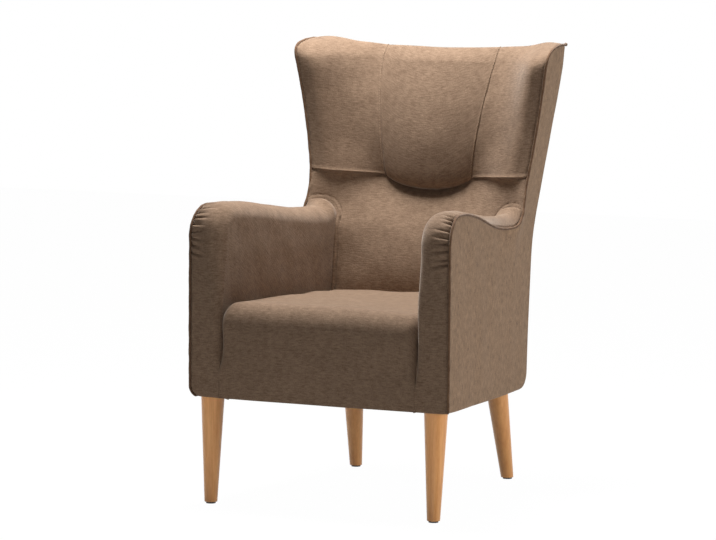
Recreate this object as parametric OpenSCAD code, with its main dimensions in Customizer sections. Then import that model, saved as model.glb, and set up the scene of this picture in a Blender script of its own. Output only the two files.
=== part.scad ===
// Upholstered fireside chair: beech frame and legs, spring seat, foam and fabric covers.
// X runs to the viewer's right, the chair faces -Y, and Z = 0 is the floor.

/* [Body] */
// Half width across the arms at the front
body_half_w = 318; // [295:1:335]
// Distance from the chair's middle to its front face
front_reach = 355; // [340:1:370]
// Height of the bottom edge at the front
base_front_h = 245; // [230:1:260]
// Height of the bottom edge at the rear
base_rear_h = 220; // [208:1:232]
// Narrowing of each side from front to rear, as a share of the depth
taper_share = 0.113; // [0.1:0.001:0.12]
// Radius of the rear bottom corner, seen from the side
rear_corner_r = 46; // [40:1:56]

/* [Arms] */
// Height of the arm's nose
arm_h = 675; // [660:1:690]
// Radius of the arm's nose, seen from the side
nose_r = 70; // [60:1:80]
// Height of the lowest point of the arm line
dip_h = 611; // [600:1:622]
// How far behind the middle that lowest point lies
dip_y = 105; // [95:1:115]
// Width of the arms at the front
arm_w = 78; // [66:1:90]
// Narrowing of the room between the arms, as a share of the depth
arm_in_taper_share = 0.075; // [0.06:0.005:0.09]
// Radius of the arm's inner top edge
arm_edge_r = 38; // [30:1:44]
// Height that the arm's crown rises above its outer edge, at the dip
arm_crown = 27; // [20:1:32]

/* [Wings and back] */
// Height of the foot of the wing's front edge
wing_foot_h = 729; // [715:1:740]
// Depth of that foot behind the middle
wing_foot_y = 196; // [188:1:204]
// Depth of the wing's front edge at mid height
wing_mid_y = 207; // [204:1:212]
// Height of the wing's rounded front corner
wing_tip_h = 979; // [965:1:985]
// Depth of that corner
wing_tip_y = 200; // [196:1:203]
// Height of the side panel's top edge
wing_top_h = 1028; // [1020:1:1034]
// Height of the top of the back at its middle
back_top_h = 1013; // [1006:1:1018]
// Sideways flare of the wings, as a share of the height
flare_share = 0.156; // [0.14:0.002:0.166]
// Height where the flare begins
flare_h = 580; // [570:1:600]
// Depth of the rear face low down
rear_low_y = 293; // [288:1:298]
// Depth of the rear face near the top
rear_high_y = 366; // [362:1:370]
// Height of the seam between the lumbar and head panels, at the wings
seam_h = 728; // [722:1:734]
// Sag of that seam at its middle
seam_sag = 43; // [30:1:50]
// Forward swell of the head panel
head_swell = 30; // [20:1:34]
// Half width of the head panel at its bottom
head_half_w = 110; // [100:1:120]

/* [Seat] */
// Height of the seat at its front
seat_front_h = 453; // [446:1:460]
// Height of the seat at the back
seat_rear_h = 443; // [438:1:448]
// Depth of the seat's rear edge
seat_rear_y = 158; // [150:1:166]
// Crown of the seat
seat_crown = 10; // [5:1:14]
// Radius of the seat's front edge
seat_edge_r = 44; // [36:1:52]

/* [Fabric and boards] */
// Thickness of the covers
cover_t = 2.4; // [1.6:0.1:3]
// Diameter of the piping
piping_d = 6; // [5:0.5:7]
// Thickness of the hardboard backing
board_t = 4; // [3:0.5:5]
// Clearance between neighbouring layers
gap = 0.3; // [0.2:0.05:0.4]

/* [Frame] */
// Width of the posts, across the chair
post_w = 22; // [20:1:24]
// Depth of the front posts
front_post_d = 45; // [38:1:50]
// Depth of the back posts
back_post_d = 32; // [28:1:34]
// Thickness of the seat rails
rail_t = 25; // [20:1:28]
// Height of the seat rails
rail_h = 80; // [70:1:86]
// Thickness of the corner blocks
block_h = 36; // [30:1:40]
// Thickness of the top rail
top_rail_t = 18; // [15:1:20]
// Height of the top rail
top_rail_h = 48; // [40:1:52]
// Diameter of the dowels
dowel_d = 10; // [8:1:12]
// Length of the dowels
dowel_len = 50; // [40:1:56]

/* [Springs and webbing] */
// Number of zigzag springs
spring_count = 5; // [4:1:6]
// Diameter of the spring wire
wire_d = 3.8; // [3:0.1:4.5]
// Width of a spring
spring_w = 50; // [40:1:56]
// Number of half waves along a spring
spring_waves = 12; // [10:2:16]
// Width of the back webbing
webbing_w = 50; // [40:1:60]
// Thickness of the webbing
webbing_t = 1.5; // [1:0.1:2]
// Thickness of the felt over the springs
felt_t = 4; // [3:0.5:6]

/* [Legs] */
// Top diameter of the legs
leg_top_d = 53; // [48:1:56]
// Bottom diameter of the legs
leg_foot_d = 29; // [24:1:34]
// Distance of the front feet from the side
front_foot_in = 44; // [38:1:50]
// Distance of the front feet ahead of the middle
front_foot_y = 330; // [324:1:334]
// Forward lean of the front legs, degrees
front_splay_angle = 2; // [0:0.5:4]
// Distance of the rear feet from the side
rear_foot_in = 121; // [113:1:130]
// Distance of the rear feet behind the middle
rear_foot_y = 291; // [285:1:300]
// Backward lean of the rear legs, degrees
rear_splay_angle = 11.5; // [10:0.5:13]
// Outward lean of the rear legs, degrees
rear_side_splay_angle = 3; // [2:0.5:5]
// Height of the glides
glide_h = 4; // [3:0.5:6]
// Diameter of the glides
glide_d = 22; // [18:1:24]
// Diameter of the hanger bolts
bolt_d = 8; // [6:1:10]
// Length of the hanger bolts
bolt_len = 56; // [48:1:60]
// Diameter of the leg plates
plate_d = 50; // [46:1:52]
// Thickness of the leg plates
plate_t = 2.5; // [2:0.5:3]

/* [Hidden] */

cover_color = "rosybrown";
wood_color = "burlywood";

// Curve and blend helpers
function lerp(a, b, t) = a + (b - a)*t;
function clamp01(t) = min(1, max(0, t));
function ease(t) = let(c = clamp01(t)) c*c*(3 - 2*c);
function bezier(p, t) = pow(1 - t, 3)*p[0] + 3*t*pow(1 - t, 2)*p[1] + 3*t*t*(1 - t)*p[2] + t*t*t*p[3];
function unit(v) = v/norm(v);
function steps(a, b, n) = [for (i = [0:n]) lerp(a, b, i/n)];

// Side planes: the outer face of the side panel at a depth and height
front_y = -front_reach;
flare_blend = 40;
function side_x(y, z) = body_half_w - taper_share*(y - front_y)
    + flare_share*(z - flare_h + norm([z - flare_h, flare_blend]))/2*ease(y/wing_foot_y);

// Inside of the arms
arm_in_half = body_half_w - arm_w;
function inner_x(y) = arm_in_half - arm_in_taper_share*(y - front_y);

// Rear face, seen from the side
rear_low_z = base_rear_h + rear_corner_r;
rear_high_z = back_top_h - rear_corner_r;
rear_bow_share = 1.1;
rear_tuck = 8;
rear_over_share = 0.09;
function rear_y(z) = rear_low_y
    + (rear_high_y - rear_low_y)*pow(max(0, z - rear_low_z)/(rear_high_z - rear_low_z), rear_bow_share)
    - (z > rear_high_z ? (rear_tuck + (rear_high_y - rear_low_y)*rear_over_share)
        *pow((z - rear_high_z)/(back_top_h - rear_high_z), 2) : 0);

// The side panel's edge from the front bottom over the arm and up the wing, as depth and height.
// s counts its stretches: front 0-1, nose 1-2, arm 2-3, corner 3-4, wing 4-5, top corner 5-6, top 6-7.
arm_drop_share = 1.1;
nose_c = [front_y + nose_r, arm_h - nose_r];
wing_mid_share = 0.44;
wing_mid_h = wing_tip_h - (wing_tip_h - wing_foot_h)*wing_mid_share;
corner_run = 70;
corner_rise = 57;
corner_lean = 16;
wing_bow = (wing_mid_y - wing_tip_y)/pow(wing_tip_h - wing_mid_h, 2);
top_rise = 34;
top_run = 50;
top_len = 89;
rear_top_y = rear_high_y - rear_tuck - piping_d;
function edge_pt(s) =
    s < 1 ? [front_y, lerp(base_front_h, nose_c[1], max(0, s))]
    : s < 2 ? nose_c + nose_r*[-cos(90*(s - 1)), sin(90*(s - 1))]
    : s < 3 ? [lerp(nose_c[0], dip_y, s - 2),
        dip_h + (arm_h - dip_h)*(1 + cos(180*pow(s - 2, arm_drop_share)))/2]
    : s < 4 ? bezier([[dip_y, dip_h], [dip_y + corner_run, dip_h],
        [wing_foot_y - corner_lean, wing_foot_h - corner_rise], [wing_foot_y, wing_foot_h]], s - 3)
    : s < 5 ? let(z = lerp(wing_foot_h, wing_tip_h, s - 4), foot_fit = wing_mid_y - wing_bow
        *pow(wing_foot_h - wing_mid_h, 2))
        [wing_mid_y - wing_bow*pow(z - wing_mid_h, 2) + (wing_foot_y - foot_fit)*pow(5 - s, 3), z]
    : s < 6 ? bezier([[wing_tip_y, wing_tip_h], [wing_tip_y - corner_lean/4, wing_tip_h + top_rise],
        [wing_tip_y + top_run - corner_lean, wing_top_h - corner_lean/2],
        [wing_tip_y + top_len, wing_top_h]], s - 5)
    : [lerp(wing_tip_y + top_len, rear_top_y, s - 6), wing_top_h];
edge_probe_share = 0.02;
function edge_n(s) =
    let(a = edge_pt(max(0, s - edge_probe_share)), b = edge_pt(min(7, s + edge_probe_share)),
        d = unit(b - a))
    [-d[1], d[0]];

// The rest of the side panel's outline: along the bottom 0-1, rear corner 1-2, up the rear edge 2-3
base_len = rear_low_y - rear_corner_r - front_y;
function base_z(y) = base_front_h - (base_front_h - base_rear_h)*(y - front_y)/base_len;
top_tuck_share = 16;
function base_pt(q, inset = 0) =
    q < 1 ? [lerp(front_y, rear_low_y - rear_corner_r, q), lerp(base_front_h, base_rear_h, q)]
    : q < 2 ? [rear_low_y - rear_corner_r, rear_low_z]
        + [(rear_corner_r - inset)*sin(90*(q - 1)), -(rear_corner_r - inset*(q - 1))*cos(90*(q - 1))]
    : let(z = lerp(rear_low_z, wing_top_h - piping_d, q - 2),
        t = (z - rear_low_z)/(back_side_top - rear_low_z))
        [lerp(rear_y(min(z, back_top_h)), rear_top_y, pow(t, top_tuck_share)) - inset, z];
// Which point of the base outline lies across from each point of the edge
base_of_edge_shares = [[0.25, 0], [1, 0.12], [2, 0.27], [3, 0.948], [3.3, 1.5], [3.5, 2.05], [4, 2.22],
    [4.25, 2.41], [4.5, 2.57], [5, 2.83], [5.5, 2.915], [6, 2.97], [7, 3]];

// Solids from two like grids of points, the outer one seen from outside
function flat_list(g) = [for (r = g) for (p = r) p];
module grid_solid(a, b) {
    rows = len(a);
    cols = len(a[0]);
    n = rows*cols;
    front = [for (i = [0:rows - 2]) for (j = [0:cols - 2]) let(k = i*cols + j)
        each [[k, k + 1, k + cols + 1], [k, k + cols + 1, k + cols]]];
    back = [for (f = front) [f[2] + n, f[1] + n, f[0] + n]];
    ring = concat([for (j = [0:cols - 1]) j], [for (i = [1:rows - 1]) i*cols + cols - 1],
        [for (j = [cols - 2:-1:0]) (rows - 1)*cols + j], [for (i = [rows - 2:-1:1]) i*cols]);
    rim = [for (i = [0:len(ring) - 1]) let(p = ring[i], q = ring[(i + 1) % len(ring)])
        each [[q, p, p + n], [q, p + n, q + n]]];
    polyhedron(points = concat(flat_list(a), flat_list(b)), faces = concat(front, back, rim));
}
function grid_n(g, i, j) =
    let(r = len(g) - 1, c = len(g[0]) - 1,
        du = g[min(r, i + 1)][j] - g[max(0, i - 1)][j], dv = g[i][min(c, j + 1)] - g[i][max(0, j - 1)])
    unit(cross(du, dv));
function sunk(g, d) = [for (i = [0:len(g) - 1]) [for (j = [0:len(g[0]) - 1]) g[i][j] - d*grid_n(g, i, j)]];
function trimmed(g, k, from = 0) = let(n = len(g[0]) - 1) [for (r = g) [for (j = [0:n])
    j == n && from < 1 ? lerp(r[n - 1], r[n], k) : j == 0 && from != 0 ? lerp(r[1], r[0], k) : r[j]]];
function turned(g) = [for (i = [len(g) - 1:-1:0]) g[i]];
function moved(g, v) = [for (r = g) [for (p = r) p + v]];

// A tube of six sides swept along points, with its rings square to the path
module sweep(path, r, sides, up) {
    n = len(path);
    ring = [for (i = [0:n - 1])
        let(d = unit(path[min(n - 1, i + 1)] - path[max(0, i - 1)]), e = unit(cross(d, up)),
            f = cross(e, d))
        [for (k = [0:sides - 1]) path[i] + r*(cos(360*k/sides)*e + sin(360*k/sides)*f)]];
    walls = [for (i = [0:n - 2]) for (k = [0:sides - 1])
        let(m = (k + 1) % sides, a = i*sides + k, b = i*sides + m, c = a + sides, d = b + sides)
        each [[a, b, d], [a, d, c]]];
    caps = [for (k = [1:sides - 2]) each [[0, k + 1, k],
        [(n - 1)*sides, (n - 1)*sides + k, (n - 1)*sides + k + 1]]];
    polyhedron(points = flat_list(ring), faces = concat(walls, caps));
}

// Layers
piping_in = 1.5;
edge_room = piping_d/2 + piping_in + gap;
board_in = cover_t + gap;
core_in = board_in + board_t + 5*gap;
pad_in = cover_t + gap;
foam_in = cover_t + 2*gap;
front_pad = 11;
rail_top_h = core_in + rail_h;

// The inside arm: s along the edge, t from the outer edge over the crown and down the inner face
crease_top_h = 374;
crease_end_h = 312;
crease_r = 12;
tuck_z = 425;
tuck_in = 25;
tuck_shallow = 6;
tuck_fade = 60;
arm_end_share = 3.5;
arm_end_y = 150;
tuck_shares = [[0.5, 0], [1, 0.06], [2, 0.27], [3, 0.81], [3.5, 1]];
crown_shares = [[0, 0.1], [1, 0.2], [2.2, 0.18], [3, 1], [3.25, 0.7], [3.5, 0.2]];
function crease(z) = ease((z - crease_end_h)/(crease_top_h - crease_end_h));
function arm_r(s, z) = s > 1 ? arm_edge_r
    : lerp(lerp(gap, crease_r, crease(z)), arm_edge_r, ease((z - seat_rear_h)/(nose_c[1] - seat_rear_h)));
function tuck_pt(s) = s < 0.5
    ? let(z = lerp(base_front_h, tuck_z, s*2))
        [front_y + lerp(tuck_shallow, tuck_in, ease((z - base_front_h - rail_top_h)/tuck_fade)), z]
    : [lerp(front_y + tuck_in, arm_end_y, lookup(s, tuck_shares)), tuck_z];
crown_end_share = 0.3;
corner_end_share = 0.6;
function arm_n(s) = unit(lerp(edge_n(s), [0, 1], ease((s - 2.3)/0.5)));
function arm_pt(s, t) =
    let(p = edge_pt(s), n = arm_n(s), r = arm_r(s, p[1]), crown = arm_crown*lookup(s, crown_shares),
        a = clamp01(t/crown_end_share), c = clamp01((t - crown_end_share)/(corner_end_share - crown_end_share)),
        h = t < crown_end_share ? crown*sin(90*a) : crown - r*(1 - cos(90*c)),
        top = p + n*h, f = clamp01((t - corner_end_share)/(1 - corner_end_share)),
        low = f > 0 ? lerp(top, tuck_pt(s), f) : top,
        outer = side_x(p[0], p[1]) - edge_room, inner = inner_x(low[0]),
        x = t < crown_end_share ? lerp(outer, inner + r, a) : inner + r*(1 - sin(90*c)))
    [x, low[0], low[1]];
arm_row_shares = concat(steps(0, 1, 8), [1.2, 1.4, 1.6, 1.8, 2, 2.2, 2.4, 2.6, 2.8],
    steps(3, arm_end_share, 3));
arm_col_shares = [0, 0.1, 0.2, 0.3, 0.4, 0.5, 0.6, 0.73, 0.87, 1];
arm_grid = [for (s = arm_row_shares) [for (t = arm_col_shares) arm_pt(s, t)]];

// The head panel and wings: v runs up the front 0-1 and over the top to the rear 1-2
seam_in_drop = 12;
seam_in_h = seam_h - seam_in_drop;
head_widen_share = 0.128;
roll_h = 30;
roll_z = back_top_h - roll_h;
seam_top_y = 323;
seam_rise_share = 1.7;
lean_high_y = 271;
lean_high_z = 716;
seam_low_y = lean_high_y - seam_in_drop;
function seam_y(z) = lerp(seam_low_y, seam_top_y,
    pow(clamp01((z - lean_high_z)/(roll_z - lean_high_z)), seam_rise_share));
function head_x(z) = head_half_w + head_widen_share*(z - seam_in_h);
rear_lip = 16;
crest_dip = 3;
// A path over the top, from the front face to the rear face
function roll_pt(y0, z0, y1, z1, crest, t) = t < 0.5
    ? [lerp(y0, (y0 + y1)/2, 1 - cos(180*t)), z0 + (crest - z0)*sin(180*t)]
    : [lerp((y0 + y1)/2, y1, sin(180*(t - 0.5))), z1 + (crest - z1)*cos(180*(t - 0.5))];
function head_seam_pt(v) =
    let(z = lerp(seam_in_h, roll_z, min(1, v)), r = roll_pt(seam_top_y, roll_z,
        rear_y(back_top_h - rear_lip), back_top_h - rear_lip, back_top_h + crest_dip, v - 1))
    v <= 1 ? [head_x(z), seam_y(z), z] : [head_x(roll_z), r[0], r[1]];
swell_shares = [[0, 0], [0.02, 0.55], [0.06, 0.88], [0.12, 1], [0.3, 0.96], [0.6, 0.75], [1, 0.3],
    [1.5, 0], [2, 0]];
seam_bow_share = 0.75;
side_seam_x = side_x(wing_foot_y, wing_foot_h) - edge_room;
function seam_z(x) = let(a = abs(x)/head_half_w) a < 1
    ? seam_in_h - (seam_sag - seam_in_drop)*pow(1 - a*a, seam_bow_share)
    : lerp(seam_in_h, seam_h, clamp01((abs(x) - head_half_w)/(side_seam_x - head_half_w)));
head_bow_share = 0.7;
function head_pt(u, v) =
    let(e = head_seam_pt(v), w = pow(1 - u*u, head_bow_share), x = (e[0] - gap)*u,
        z = v < 1 ? lerp(seam_z(head_half_w*u), roll_z, v) : e[2] - crest_dip*w*sin(180*(v - 1)))
    [x, e[1] - head_swell*w*lookup(v, swell_shares), z];
head_col_shares = [-1, -0.85, -0.6, -0.3, 0, 0.3, 0.6, 0.85, 1];
roll_row_shares = [1, 1.06, 1.12, 1.25, 1.4, 1.5, 1.6, 1.75, 2];
head_row_shares = concat([0, 0.02, 0.06, 0.12, 0.25, 0.4, 0.55, 0.7, 0.85], roll_row_shares);
head_grid = turned([for (v = head_row_shares) [for (u = head_col_shares) head_pt(u, v)]]);

wing_hollow_shares = [[0, 1.4], [0.4, 2.2], [1, 2.1], [1.5, 1.8], [2, 1.6]];
wing_crown = 13;
seam_room = edge_room + 5*gap;
wing_crown_share = 0.4;
function wing_edge_pt(v) = let(p = edge_pt(v <= 1 ? 4 + v : 5 + 2*(v - 1)))
    [side_x(p[0], p[1]) - seam_room, p[0], p[1]];
function wing_pt(u, v) =
    let(a = head_seam_pt(v), b = wing_edge_pt(v), k = pow(u, lookup(v, wing_hollow_shares)),
        bump = wing_crown*sin(180*pow(clamp01((u - wing_crown_share)/(1 - wing_crown_share)), 1.5)),
        top = ease(v*2 - 1.8)*clamp01((2 - v)*8))
    [lerp(a[0], b[0], u), lerp(a[1], b[1], k) - bump*0.4*ease(v*3)*(1 - ease(v*2 - 1.8)),
        lerp(a[2], b[2], u) + bump*top];
wing_col_shares = [0, 0.25, 0.5, 0.7, 0.86, 1];
wing_row_shares = concat([0, 0.15, 0.3, 0.5, 0.7, 0.85], roll_row_shares);
wing_grid = turned([for (v = wing_row_shares) [for (u = wing_col_shares) wing_pt(u, v)]]);

// The lumbar panel: u across, v from the seat to the seam under the head panel
lean_low_y = seat_rear_y + gap*2;
lumbar_swell = 8;
function tuck_y(a) = lerp(lean_low_y, arm_end_y, pow(a, 3));
function lean_y(z) = lerp(lean_low_y, lean_high_y, (z - tuck_z)/(lean_high_z - tuck_z));
lumbar_turn_share = 0.7;
function lumbar_side(v) = v < lumbar_turn_share
    ? arm_pt(arm_end_share, 1 - v/lumbar_turn_share) + gap*[-2, 1, 0]
    : let(p = edge_pt(lerp(arm_end_share, 4, (v - lumbar_turn_share)/(1 - lumbar_turn_share))))
        [side_x(p[0], p[1]) - seam_room, p[0], p[1]];
function lumbar_pt(u, v) =
    let(e = lumbar_side(v), a = abs(u), x = e[0]*u, z0 = lerp(tuck_z, seam_h - seam_sag, v),
        z1 = lerp(z0, e[2], a*a), z = lerp(z1, seam_z(x), pow(v, 4)), k = pow(a, lerp(3, 2, v)),
        y = lerp(lean_y(z) - lumbar_swell*sin(180*v)*(1 - a*a), e[1], k))
    [x, y, z];
seam_knee_share = head_half_w/side_seam_x;
lumbar_wing_shares = [for (i = [1:len(wing_col_shares) - 1]) lerp(seam_knee_share, 1, wing_col_shares[i])];
lumbar_col_shares = concat(-[for (i = [len(lumbar_wing_shares) - 1:-1:0]) lumbar_wing_shares[i]],
    head_col_shares*seam_knee_share, lumbar_wing_shares);
lumbar_row_shares = concat([for (i = [len(arm_col_shares) - 1:-1:0])
    (1 - arm_col_shares[i])*lumbar_turn_share], [0.8, 0.9, 1]);
lumbar_grid = turned([for (v = lumbar_row_shares) [for (u = lumbar_col_shares) lumbar_pt(u, v)]]);

// The seat: v from the rear 0-1, over the front edge 1-2 and down the front 2-3
seat_c = [front_y + seat_edge_r, seat_front_h - seat_edge_r];
function seat_path(v, a) =
    v < 1 ? [lerp(tuck_y(a) - 2*gap, seat_c[0], v), lerp(seat_rear_h, seat_front_h, v)]
    : v < 2 ? seat_c + seat_edge_r*[-sin(90*(v - 1)), cos(90*(v - 1))]
    : [front_y, lerp(seat_c[1], base_front_h, v - 2)];
function seat_n(v) = v < 1 ? [0, 1] : v < 2 ? [-sin(90*(v - 1)), cos(90*(v - 1))] : [-1, 0];
seat_side_r = 15;
seat_side_drop = 12;
flat_share = 0.8;
turn_share = 0.95;
function seat_pt(u, v) =
    let(a = abs(u), n = seat_n(v), fade = crease(seat_path(v, a)[1]), r = lerp(gap, seat_side_r, fade),
        c = 90*clamp01((a - flat_share)/(turn_share - flat_share)), k = r/arm_in_half,
        w = a < flat_share ? (1 - k)*a/flat_share : 1 - k*(1 - sin(c)), p = seat_path(v, w),
        drop = r*(1 - cos(c)) + seat_side_drop*fade*max(0, a - turn_share)/(1 - turn_share),
        x = w*(inner_x(p[0] - n[0]*drop) - gap*2),
        h = seat_crown*(1 - a*a)*(v < 1 ? ease(v*3)*0.5 + 0.5 : 1) - drop,
        back = v < 0.02 ? seat_side_r : 0)
    [sign(u)*x, p[0] + n[0]*h, p[1] + n[1]*h - back];
seat_col_shares = [-1, -0.95, -0.9, -0.85, -0.8, -0.55, -0.28, 0, 0.28, 0.55, 0.8, 0.85, 0.9, 0.95, 1];
seat_row_shares = [0, 0.03, 0.3, 0.6, 0.85, 1, 1.25, 1.5, 1.75, 2, 2.15, 2.3, 2.5, 2.75, 3];
seat_grid = [for (v = seat_row_shares) [for (u = seat_col_shares) seat_pt(u, v)]];

// The outside panels
side_bow = 3;
function side_swell(y, z) = side_bow*sin(180*clamp01((y - front_y)/(rear_low_y - front_y)))
    *sin(180*clamp01((z - base_rear_h)/(dip_h - base_rear_h)));
edge_row_shares = concat(steps(0, 1, 3), [1.2, 1.4, 1.6, 1.8, 2, 2.2, 2.4, 2.6, 2.8], steps(3, 4, 6),
    [for (i = [1:len(wing_row_shares) - 1]) wing_row_shares[i] <= 1 ? 4 + wing_row_shares[i]
        : 5 + 2*(wing_row_shares[i] - 1)]);
panel_row_shares = [for (s = edge_row_shares) if (s > 0.3) s];
panel_col_shares = [0, 0.25, 0.5, 0.75, 1];
corner_slant_share = 1.3;
function panel_pt(s, c, inset, rear) =
    let(p = edge_pt(s) - edge_n(s)*inset, b = lookup(s, base_of_edge_shares), q = base_pt(b, rear),
        m = lerp(p, [max(q[0], front_y + inset*corner_slant_share),
            q[1] + (inset - edge_room)*(1 - 2*clamp01(b - 2))], c))
    [side_x(m[0], m[1]) + side_swell(m[0], m[1]), m[0], m[1]];
function panel_grid(inset, rear, rows = panel_row_shares) =
    turned([for (s = rows) [for (c = panel_col_shares) panel_pt(s, c, inset, rear)]]);
board_edge = 6;
board_top_share = 2.95;
board_end_share = 5.6;

// The outside back, from the rear bottom corner to the roll over the top
hem_share = 1.4;
back_bow = 6;
back_row_shares = concat([hem_share, 1.6, 1.8], steps(2, 2.8, 7), [2.88, 2.94, 2.97, 3]);
back_knee_share = head_x(roll_z)/side_x(rear_top_y, wing_top_h);
back_side_shares = [back_knee_share/2, back_knee_share, lerp(back_knee_share, 1, 0.5), 1];
back_col_shares = concat(-[for (i = [3:-1:0]) back_side_shares[i]], [0], back_side_shares);
back_side_top = wing_top_h - piping_d/2 - pad_in;
function back_top_z(x) = lerp(back_top_h - rear_lip - pad_in, back_side_top, clamp01((abs(x) - head_x(roll_z))
    /(side_x(rear_top_y, wing_top_h) - head_x(roll_z))));
function back_pt(u, q, inset, low, high) =
    let(b = base_pt(min(q, 2)), t = clamp01(q - 2),
        z0 = q < 2 ? b[1] + low : lerp(rear_low_z + low,
            back_top_z(side_x(rear_top_y, wing_top_h)*u) - high, t),
        y0 = q < 2 ? b[0] : rear_y(min(z0, back_top_h)),
        y = q < 2 ? y0 : lerp(y0, rear_top_y, pow(t, top_tuck_share)*pow(abs(u), 3)),
        x = u*(side_x(y, z0) - inset))
    [x, y + back_bow*(1 - u*u)*sin(180*t), z0];
function back_grid(inset, low, high) = [for (q = back_row_shares)
    [for (u = back_col_shares) back_pt(u, q, inset, low, high)]];

module left() { mirror([1, 0, 0]) children(); }
module both_sides() { children(); left() children(); }

// Covers
module cover(g) { color(cover_color) grid_solid(g, sunk(g, cover_t)); }
module inside_arm_cover() { cover(arm_grid); }
module seat_cover() { cover(seat_grid); }
module lumbar_cover() { cover(lumbar_grid); }
module head_cover() { cover(head_grid); }
module wing_cover() { cover(wing_grid); }
module outside_arm_cover() {
    g = panel_grid(edge_room, cover_t + 3*gap);
    color(cover_color) grid_solid(g, moved(g, [-cover_t, 0, 0]));
}
module outside_back_cover() {
    g = back_grid(0, 0, 0);
    color(cover_color) grid_solid(g, sunk(g, cover_t));
}
module piping() {
    n = len(edge_row_shares) - 1;
    rows = [for (i = [0:n]) if (i == 0 || edge_row_shares[i] > edge_row_shares[i - 1]) edge_row_shares[i]];
    path = [for (s = rows) let(p = edge_pt(s) - piping_in*edge_n(s))
        [side_x(p[0], p[1]) - piping_in, p[0], p[1]]];
    color("dimgray") sweep(path, piping_d/2, 6, [1, 0, 0]);
}

// Boards behind the outside panels
module side_board() {
    rows = [for (s = panel_row_shares) if (s <= board_end_share) s];
    g = moved(panel_grid(edge_room + board_edge, core_in + board_edge, rows), [-board_in - 4*gap, 0, 0]);
    color("peru") grid_solid(g, moved(g, [-board_t, 0, 0]));
}
module back_board() {
    g = [for (q = back_row_shares) if (q >= 2 && q < board_top_share) [for (u = back_col_shares)
        back_pt(u, q, core_in + board_edge, 0, 0) - [0, board_in, 0]]];
    color("peru") grid_solid(g, moved(g, [0, -board_t, 0]));
}

// Placing the frame: the side frames stand in planes parallel to the side panels
taper_a = atan(taper_share);
pitch_a = atan((base_front_h - base_rear_h)/base_len);
reach = 2*front_reach;
module side_space() {
    translate([body_half_w - core_in/cos(taper_a), front_y, 0]) rotate([0, 0, taper_a]) children();
}
module flare_space() {
    side_space() translate([0, 0, flare_h]) rotate([0, atan(flare_share), 0]) translate([0, 0, -flare_h])
        children();
}
module base_space() { translate([0, front_y, base_front_h]) rotate([-pitch_a, 0, 0]) children(); }
function side_pts(pts) = [for (p = pts) [(p[0] - front_y)/cos(taper_a), p[1]]];
module plate_x(pts, x0, x1) {
    translate([x0, 0, 0]) rotate([90, 0, 90]) linear_extrude(x1 - x0) polygon(pts);
}
module side_piece(pts, w) { side_space() plate_x(side_pts(pts), -w, 0); }
module side_zone(w) {
    both_sides() side_space() translate([-w, -reach, -reach]) cube([reach, 3*reach, 3*reach]);
}
module cross_piece(pts) {
    difference() {
        plate_x(pts, -body_half_w, body_half_w);
        side_zone(post_w + gap);
    }
}
function core_y(z) = rear_y(z) - core_in - back_post_d;
rear_c = [rear_low_y - rear_corner_r, rear_low_z];
core_r = rear_corner_r - core_in;
function corner_arc(y) = [for (a = steps(asin((y - rear_c[0])/core_r), 90, 4))
    rear_c + core_r*[sin(a), -cos(a)]];
function frame_z(y, w) = base_z(y) + core_in + w;

// Frame pieces
front_rail_y = front_y + front_pad;
rear_rail_y = rear_low_y - core_in - rail_t;
post_top_z = nose_c[1] + gap;
front_post_y = front_rail_y + front_post_d;
block_len = 62;
block_in = 78;
module block_shape(grow) {
    both_sides() {
        difference() {
            plate_x([[front_rail_y - grow, frame_z(front_rail_y, -grow)],
                [front_rail_y + block_len + grow, frame_z(front_rail_y + block_len, -grow)],
                [front_rail_y + block_len + grow, frame_z(front_rail_y + block_len, block_h + grow)],
                [front_rail_y - grow, frame_z(front_rail_y, block_h + grow)]],
                body_half_w - core_in - post_w - block_in - grow, body_half_w);
            side_zone(post_w + gap - grow);
        }
        difference() {
            plate_x([[rear_c[0] - block_len - grow, frame_z(rear_c[0] - block_len, -grow)],
                [rear_c[0] + grow, frame_z(rear_c[0], -grow)],
                [rear_rail_y - gap + grow, frame_z(rear_c[0], block_d_rise)],
                [rear_rail_y - gap + grow, frame_z(rear_rail_y, block_h + grow)],
                [rear_c[0] - block_len - grow, frame_z(rear_c[0] - block_len, block_h + grow)]],
                rear_foot_x - block_in/2 - grow, body_half_w);
            side_zone(post_w + gap - grow);
        }
    }
}
block_d_rise = 3;
module corner_blocks() {
    color(wood_color) difference() {
        block_shape(0);
        leg_bores();
        block_screws(gap/2);
    }
}
module front_rail() {
    color(wood_color) difference() {
        cross_piece([[front_rail_y, frame_z(front_rail_y, 0)],
            [front_rail_y + rail_t, frame_z(front_rail_y + rail_t, 0)],
            [front_rail_y + rail_t, frame_z(front_rail_y + rail_t, rail_h)],
            [front_rail_y, frame_z(front_rail_y, rail_h)]]);
        block_shape(gap);
        dowels(gap/2);
        block_screws(gap/2);
        leg_bores();
    }
}
module back_rail_bottom() {
    color(wood_color) difference() {
        cross_piece(concat(corner_arc(rear_rail_y),
            [[rear_rail_y + rail_t, frame_z(rear_rail_y + rail_t, rail_h)],
            [rear_rail_y, frame_z(rear_rail_y, rail_h)]]));
        dowels(gap/2);
        block_screws(gap/2);
    }
}
tuck_rail_z = 420;
mid_rail_z = 700;
small_rail_h = 44;
module back_cross(z) {
    color(wood_color) difference() {
        cross_piece([[core_y(z), z], [core_y(z) + rail_t, z],
            [core_y(z + small_rail_h) + rail_t, z + small_rail_h],
            [core_y(z + small_rail_h), z + small_rail_h]]);
        dowels(gap/2);
    }
}
module back_tuck_rail() { back_cross(tuck_rail_z - small_rail_h); }
module back_mid_rail() { back_cross(mid_rail_z - small_rail_h); }
top_rail_z = roll_z + crest_dip;
top_rail_in = 1.5;
top_rail_y = rear_y(top_rail_z - top_rail_h) - core_in - top_rail_t - top_rail_in;
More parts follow.
